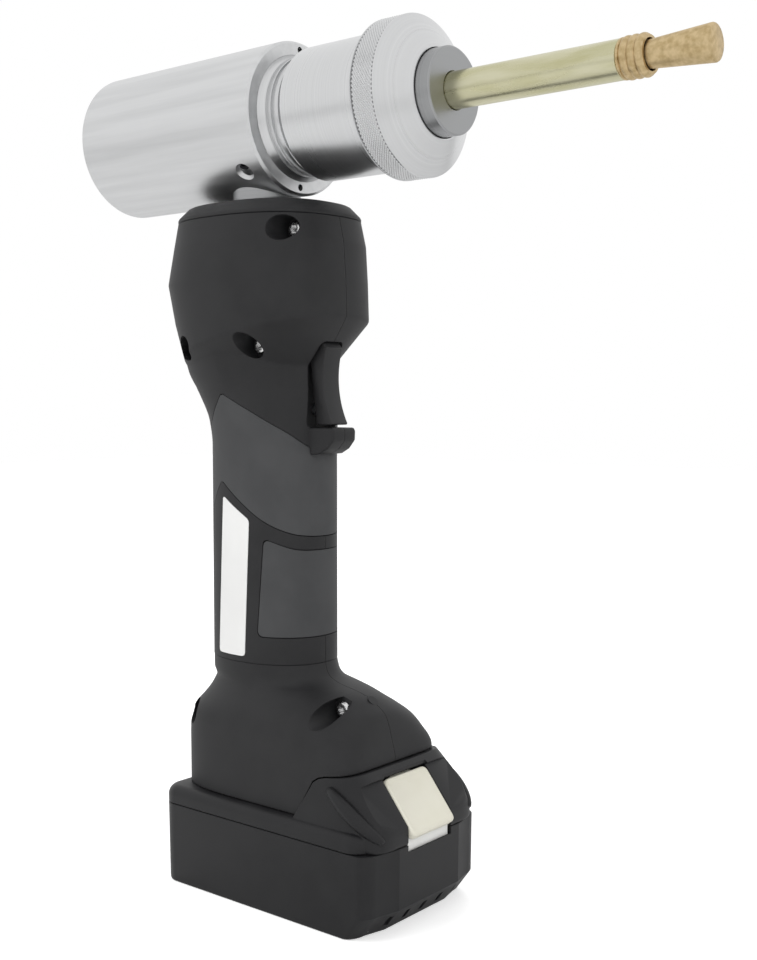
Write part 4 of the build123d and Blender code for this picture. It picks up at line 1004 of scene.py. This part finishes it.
def packRow(z, inset, front, crease=None):
    p = pack
    corner = max(p["corner"] - inset, p["least"])
    rear, front, half = p["rear"] + inset, front - inset, p["half"] - inset
    line = []
    for cx, cy, first in ((front, -half, -90), (front, half, 0), (rear, half, 90), (rear, -half, 180)):
        px = cx - corner if cx == front else cx + corner
        py = cy + corner if cy < 0 else cy - corner
        line += [(x, y, z) for x, y in arc(px, py, corner, first, first + 90, 9)]
        if crease and cx == front and cy < 0:
            line += [(front, -crease, z), (front, crease, z)]
    if crease:
        for i, (x, y, z) in enumerate(line):
            share = min(max((abs(y) - crease) / (half - corner - crease), 0), 1)
            line[i] = (x - p["creaseDrop"] * share * max((x - front) / corner + 1, 0), y, z)
    return np.array(line)


def makeCase():
    p, b = pack, button
    skin = arc(p["edge"], p["draft"] + p["edge"], -p["edge"], 0, 90, 7)
    slant = p["draft"] / p["seam"]
    skin += [(p["toeHigh"], p["draft"] - slant * p["toeHigh"])] + moved(p["below"], p["seam"], 0)
    rows = []
    for z, inset in skin:
        toe = p["toe"] * max(0, 1 - z / p["toeHigh"])
        rows.append(packRow(z, inset, p["front"] - toe, p["creaseY"]))
    case = rowsPiece("batteryCase", rows)
    heel, heelX, behind = p["heel"], p["rear"] + p["heel"], p["rear"] - p["out"]
    line = arc(heelX, heel, heel, -90, -180, 13) + [(behind, heel), (behind, -p["out"]), (heelX, -p["out"])]
    carve(case, prism("heel", line, -packPast, packPast))
    lean = Matrix.Rotation(-math.atan2(p["toeHigh"], p["toe"]), 4, "Y")
    sides = [(-p[key] / 2, p[key] / 2) for key in ("slitLong", "slitWide")]
    for i in range(p["slits"]):
        y = (i - (p["slits"] - 1) / 2) * p["slitPitch"]
        slit = slab("slit", *sides, (-p["slitDeep"], p["slitDeep"]))
        spot = ((p["front"] - p["toe"] / 2) * mm, y * mm, p["toeHigh"] / 2 * mm)
        slit.data.transform(Matrix.Translation(spot) @ lean)
        carve(case, slit)
    gap = b["gap"]
    rear, wide = b["legRear"] - gap, (-b["half"] - gap, b["half"] + gap)
    front = b["legRear"] + b["legThick"] + gap
    carve(case, slab("legSlot", (rear, front), wide, (p["legFloor"], p["legRoom"])))
    return carve(case, slab("legMouth", (rear, cover["front"]), wide, (p["mouthFloor"], p["legRoom"])))


cover = {
    "front": 95, "top": 66, "low": 20, "out": 9, "hookFloor": 48.1, "hookOver": 0.6, "hookLap": 1,
    "room": [
        (68.9, 66), (68.9, 56.5), (65.2, 53.3), (65.2, 41.0), (73.4, 41.0), (78.0, 34.9), (78.0, 32),
        (95, 32), (95, 66),
    ],
}
coverTable = [
    (33.45, -32.3, 81.45, 33.8, 9.0),
    (33.9, -32.3, 81.7, 34.0, 9.0),
    (38.0, -32.3, 81.7, 33.6, 9.0),
    (44.0, -32.3, 80.4, 32.5, 8.0),
    (50.0, -32.3, 77.0, 31.6, 8.0),
    (56.0, -32.3, 70.8, 31.0, 8.0),
    (62.0, -32.3, 63.4, 31.0, 8.0),
]
place(shade(makeCase(), 13), "battery", "black_pack", "battery_case")


def makeCover():
    p, b, c = pack, button, cover
    gap, ledge, bend = b["gap"], p["ledge"], p["ledgeRound"]
    low = ledge - bend
    rows = moved(p["above"], p["seam"], 0) + [(low, 0.0)] + arc(low, bend, bend, -78, 0, 7)
    body = rowsPiece("batteryCover", [packRow(z, inset, p["ledgeFront"]) for z, inset in rows])
    nose = ovalLoft("coverNose", coverTable, 0.8)
    above = moved(foot["under"], gap, -gap)
    keep = [(above[0][0], c["low"])] + above + [(above[-1][0], c["low"])]
    carve(nose, prism("noseKeep", keep, -packPast, packPast), "INTERSECT")
    carve(body, nose, "UNION")
    half, hook = b["half"] + gap, b["hookHalf"] + gap
    carve(body, prism("buttonRoom", c["room"], -half, half))
    (topX, topZ), (tipX, tipZ) = b["top"], b["tip"]
    slope = math.atan2(topZ - tipZ, tipX - topX)
    line = moved([b["top"], b["tip"]], -b["frameDeep"] * math.sin(slope), -b["frameDeep"] * math.cos(slope))
    line += [(tipX + c["out"], tipZ), (topX + c["out"], topZ + c["out"])]
    carve(body, prism("buttonFrame", line, -packPast, packPast))
    rear = b["hookRear"] - gap
    high = (c["hookFloor"], topZ + c["hookOver"])
    carve(body, slab("hookRoom", (rear, topX - c["hookLap"]), (-hook, hook), high))
    deep = (rear, b["hookRear"] + b["toothLong"] + gap)
    return carve(body, slab("toothRoom", deep, (-hook, hook), (c["hookFloor"], c["top"])))


place(shade(makeCover(), 28), "battery", "black_pack", "battery_cover")

ribs = {
    "from": (57.0, 31.4, 54.2), "over": (71.5, 33.6, 45.0), "to": (80.6, 27.6, 37.2), "radius": 3.0,
    "steps": 24, "round": 20, "lean": (0.5, 0.3), "fade": 0.35, "span": (0.02, 0.96), "least": 0.2,
}


def makeRib(name, side):  # slim bar that fades into the skin at both ends
    k = ribs
    start, over, end = (Vector((x, side * y, z)) for x, y, z in (k["from"], k["over"], k["to"]))
    along = (end - start).normalized()
    away = Vector((k["lean"][0], side, k["lean"][1]))
    away = (away - along * along.dot(away)).normalized()
    across = along.cross(away)
    rows = []
    for t in np.linspace(0, 1, k["steps"]):
        share = math.sin(math.pi * (k["span"][0] + k["span"][1] * t))
        radius = max(k["radius"] * share ** k["fade"], k["least"])
        middle = start.lerp(over, t).lerp(over.lerp(end, t), t)
        row = []
        for i in range(k["round"]):
            turn = math.tau * i / k["round"]
            around = across * (radius * math.cos(turn)) + away * (radius * math.sin(turn))
            row.append(tuple(middle + around))
        rows.append(row)
    return shade(rowsPiece(name, rows), 60)


for side, name in ((-1, "ribRight"), (1, "ribLeft")):
    place(makeRib(name, side), "battery", "black_pack")

tongue = {
    "rear": -23.0, "front": 46.0, "web": 18.0, "flange": 22.0, "deck": 39.8, "top": 54.8,
    "flangeLow": 49.8, "slotY": 12.0, "slotHalf": 2.0, "slot": (-25.0, 2.0), "slotHigh": (44.5, 60),
}


def makeTongue():
    k = tongue
    low = k["flangeLow"]
    side = [(k["web"], k["deck"]), (k["web"], low), (k["flange"], low), (k["flange"], k["top"])]
    mirror = [(-y, z) for y, z in side]
    body = endPrism("packTongue", mirror[:1] + side + mirror[:0:-1], k["rear"], k["front"])
    for y in (-k["slotY"], k["slotY"]):
        carve(body, slab("slot", k["slot"], (y - k["slotHalf"], y + k["slotHalf"]), k["slotHigh"]))
    return soften(body, 0.4)


place(shade(makeTongue(), 35), "battery", "black_pack")


def makePad():
    k = button
    (tx, tz), (px, pz) = k["top"], k["tip"]
    long = math.hypot(px - tx, pz - tz)
    lean = math.atan2(tz - pz, px - tx)
    half = k["half"]
    flat = roundCorners([(0, -half), (long, -half), (long, half), (0, half)], k["corner"], 8)
    middle = np.array([long / 2, 0])
    rows = []
    for depth, inset in k["skin"]:
        scale = np.array([1 - 2 * inset / long, 1 - inset / half])
        row = []
        for u, v in (np.array(flat) - middle) * scale + middle:
            x = tx + u * math.cos(lean) - depth * math.sin(lean)
            row.append((x, v, tz - u * math.sin(lean) - depth * math.cos(lean)))
        rows.append(row)
    return shade(rowsPiece("batteryButton", rows), 50)


def makeLeg():
    k = button
    side = k["half"] - k["legInset"]
    leg = slab("buttonLeg", (k["legRear"], k["legRear"] + k["legThick"]), (-side, side), k["leg"])
    return shade(soften(leg, 0.4, angle=50), 40)


def makeHook():
    k = button
    x, z = k["top"][0] - k["hookGap"], k["top"][1]
    low, high, tooth = z - k["hookLow"], z - k["hookHigh"], k["tooth"]
    rear, front = k["hookRear"], k["hookRear"] + k["toothLong"]
    line = [(rear, low), (x, low), (x, high), (front, high), (front, tooth), (rear, tooth)]
    return shade(soften(prism("buttonHook", line, -k["hookHalf"], k["hookHalf"]), 0.3, angle=50), 40)


def makeBoss():
    k = button
    outline = bar(k["springTop"], k["top"][1] - k["bossTop"], k["springRadius"])
    return shade(spun("buttonBoss", outline, k["springX"], 32), 40)


place(makePad(), "battery_button", "cream_button", "battery_button")
place(makeLeg(), "battery_button", "cream_button", look="paleLeg")
for piece in (makeHook(), makeBoss()):
    place(piece, "battery_button", "cream_button")
print("battery made")


# Screws
screw = {
    "radius": 3.2, "high": 2.2, "edge": 0.4, "bevel": 0.1, "dome": 0.75, "socket": 1.7, "socketDeep": 1.3,
    "lobes": 6, "lobe": 0.14, "out": 9,
}


def makeScrewHead():  # domed head along -Y with a six lobe socket, its seat at the origin
    k = screw
    radius, high, edge = k["radius"], k["high"], k["edge"]
    dome = [(0, 0), (0, radius - k["bevel"]), (-edge, radius)]
    for t in np.linspace(0.2, 1, 5):
        dome.append((-edge - (high - edge) * math.sin(t * math.pi / 2), radius * math.cos(t * k["dome"])))
    dome.append((-high, 0))
    head = ringMesh("screwHead", dome, 36, lambda along, u, v: (u, along, v))
    star = []
    for i in range(k["lobes"] * 6):
        turn = math.tau * i / (k["lobes"] * 6)
        reach = k["socket"] * (1 + k["lobe"] * math.cos(turn * k["lobes"]))
        star.append((reach * math.cos(turn), reach * math.sin(turn)))
    carve(head, prism("socket", star, -k["out"], -high + k["socketDeep"]))
    return shade(head, 40)


def screwTree():  # one head on each point
    tree, given = newTree("screwSpots", {"Spots": "Geometry", "Head": "Object", "Finish": "Material"})
    pick = addNode(tree, "GeometryNodeObjectInfo", {"Object": given["Head"]})
    return closeTree(tree, given, {"Points": given["Spots"], "Instance": pick.outputs["Geometry"]})


headShape = makeScrewHead()
spotTree = screwTree()
for name, spots, node in (
    ("housingScrews", housing["screws"], "housing_screws"),
    ("footScrews", foot["screws"], "foot_screws"),
):
    values = {"Head": headShape, "Finish": looks["brightScrew"]}
    group = grownPiece(name, [(x, y, z) for x, z, y in spots], spotTree, values)
    place(group, "handle", "bright_screw", node)
drop(headShape)
print("screws made")


# Stage, light and camera
stage = {
    "reach": 3000, "drop": -0.05, "floor": (0.86, 0.86, 0.86), "dark": (0.85, 0.85, 0.85),
    "light": (0.87, 0.87, 0.87), "rough": 0.7, "grain": 40, "lift": 0.5, "ambient": 0.62,
    "aim": (0, 0, 0.18),
}


def makeFloor():
    s = stage
    corners = [(x * s["reach"], y * s["reach"], s["drop"]) for x, y in ((-1, -1), (1, -1), (1, 1), (-1, 1))]
    floor = meshPiece("floor", corners, [[0, 1, 2, 3]])
    material, tree, shader = finish("paleFloor", s["floor"], s["rough"])
    grain = objectNoise(tree, s["grain"], even, texture["broadDetail"])
    seen = addNode(tree, "ShaderNodeLightPath").outputs["Is Camera Ray"]
    feed(tree, shader, {
        "Base Color": ramp(tree, grain, s["dark"], s["light"]), "Emission Color": (1, 1, 1, 1),
        "Emission Strength": reckon(tree, "MULTIPLY", seen, s["lift"]),
    })
    floor.data.materials.append(material)


def makeWorld():  # white to the eye and in reflections, softer as a light
    world = bpy.data.worlds.new("studio")
    bpy.context.scene.world = world
    world.use_nodes = True
    tree = world.node_tree
    path = addNode(tree, "ShaderNodeLightPath").outputs
    mirrored = reckon(tree, "MAXIMUM", path["Is Glossy Ray"], path["Is Transmission Ray"])
    seen = reckon(tree, "MAXIMUM", path["Is Camera Ray"], mirrored)
    level = addNode(tree, "ShaderNodeMapRange", {"Value": seen, "To Min": stage["ambient"], "To Max": 1.0})
    feed(tree, tree.nodes["Background"], {"Color": (1, 1, 1, 1), "Strength": level.outputs[0]})


def softLamp(name, spot, size, power):
    data = bpy.data.lights.new(name, "AREA")
    data.shape = "DISK"
    data.size = size
    data.energy = power
    lamp = bpy.data.objects.new(name, data)
    bpy.context.collection.objects.link(lamp)
    lamp.location = spot
    lamp.rotation_euler = (Vector(stage["aim"]) - Vector(spot)).to_track_quat("-Z", "Y").to_euler()
    lamp.visible_glossy = False


makeFloor()
makeWorld()
softLamp("keyLamp", (-0.5, -1.1, 1.3), 0.9, 11)
softLamp("fillLamp", (1.3, -0.5, 0.8), 1.0, 6)
softLamp("rimLamp", (-0.6, 1.0, 1.2), 0.8, 6)

view = {
    "spot": (0.37018, -0.38794, 0.20147), "turn": 39.0, "dip": 3.66, "focal": 1278.31, "tall": 960,
    "sensor": 36.0, "clip": 0.01,
}
cameraData = bpy.data.cameras.new("photoView")
cameraData.sensor_fit = "VERTICAL"
cameraData.sensor_height = view["sensor"]
cameraData.lens = view["focal"] / view["tall"] * view["sensor"]
cameraData.clip_start = view["clip"]
camera = bpy.data.objects.new("photoView", cameraData)
bpy.context.collection.objects.link(camera)
camera.location = view["spot"]
camera.rotation_euler = (math.radians(90 - view["dip"]), 0, math.radians(view["turn"]))
bpy.context.scene.camera = camera
bpy.context.scene.view_settings.view_transform = "Standard"
print("stage made")
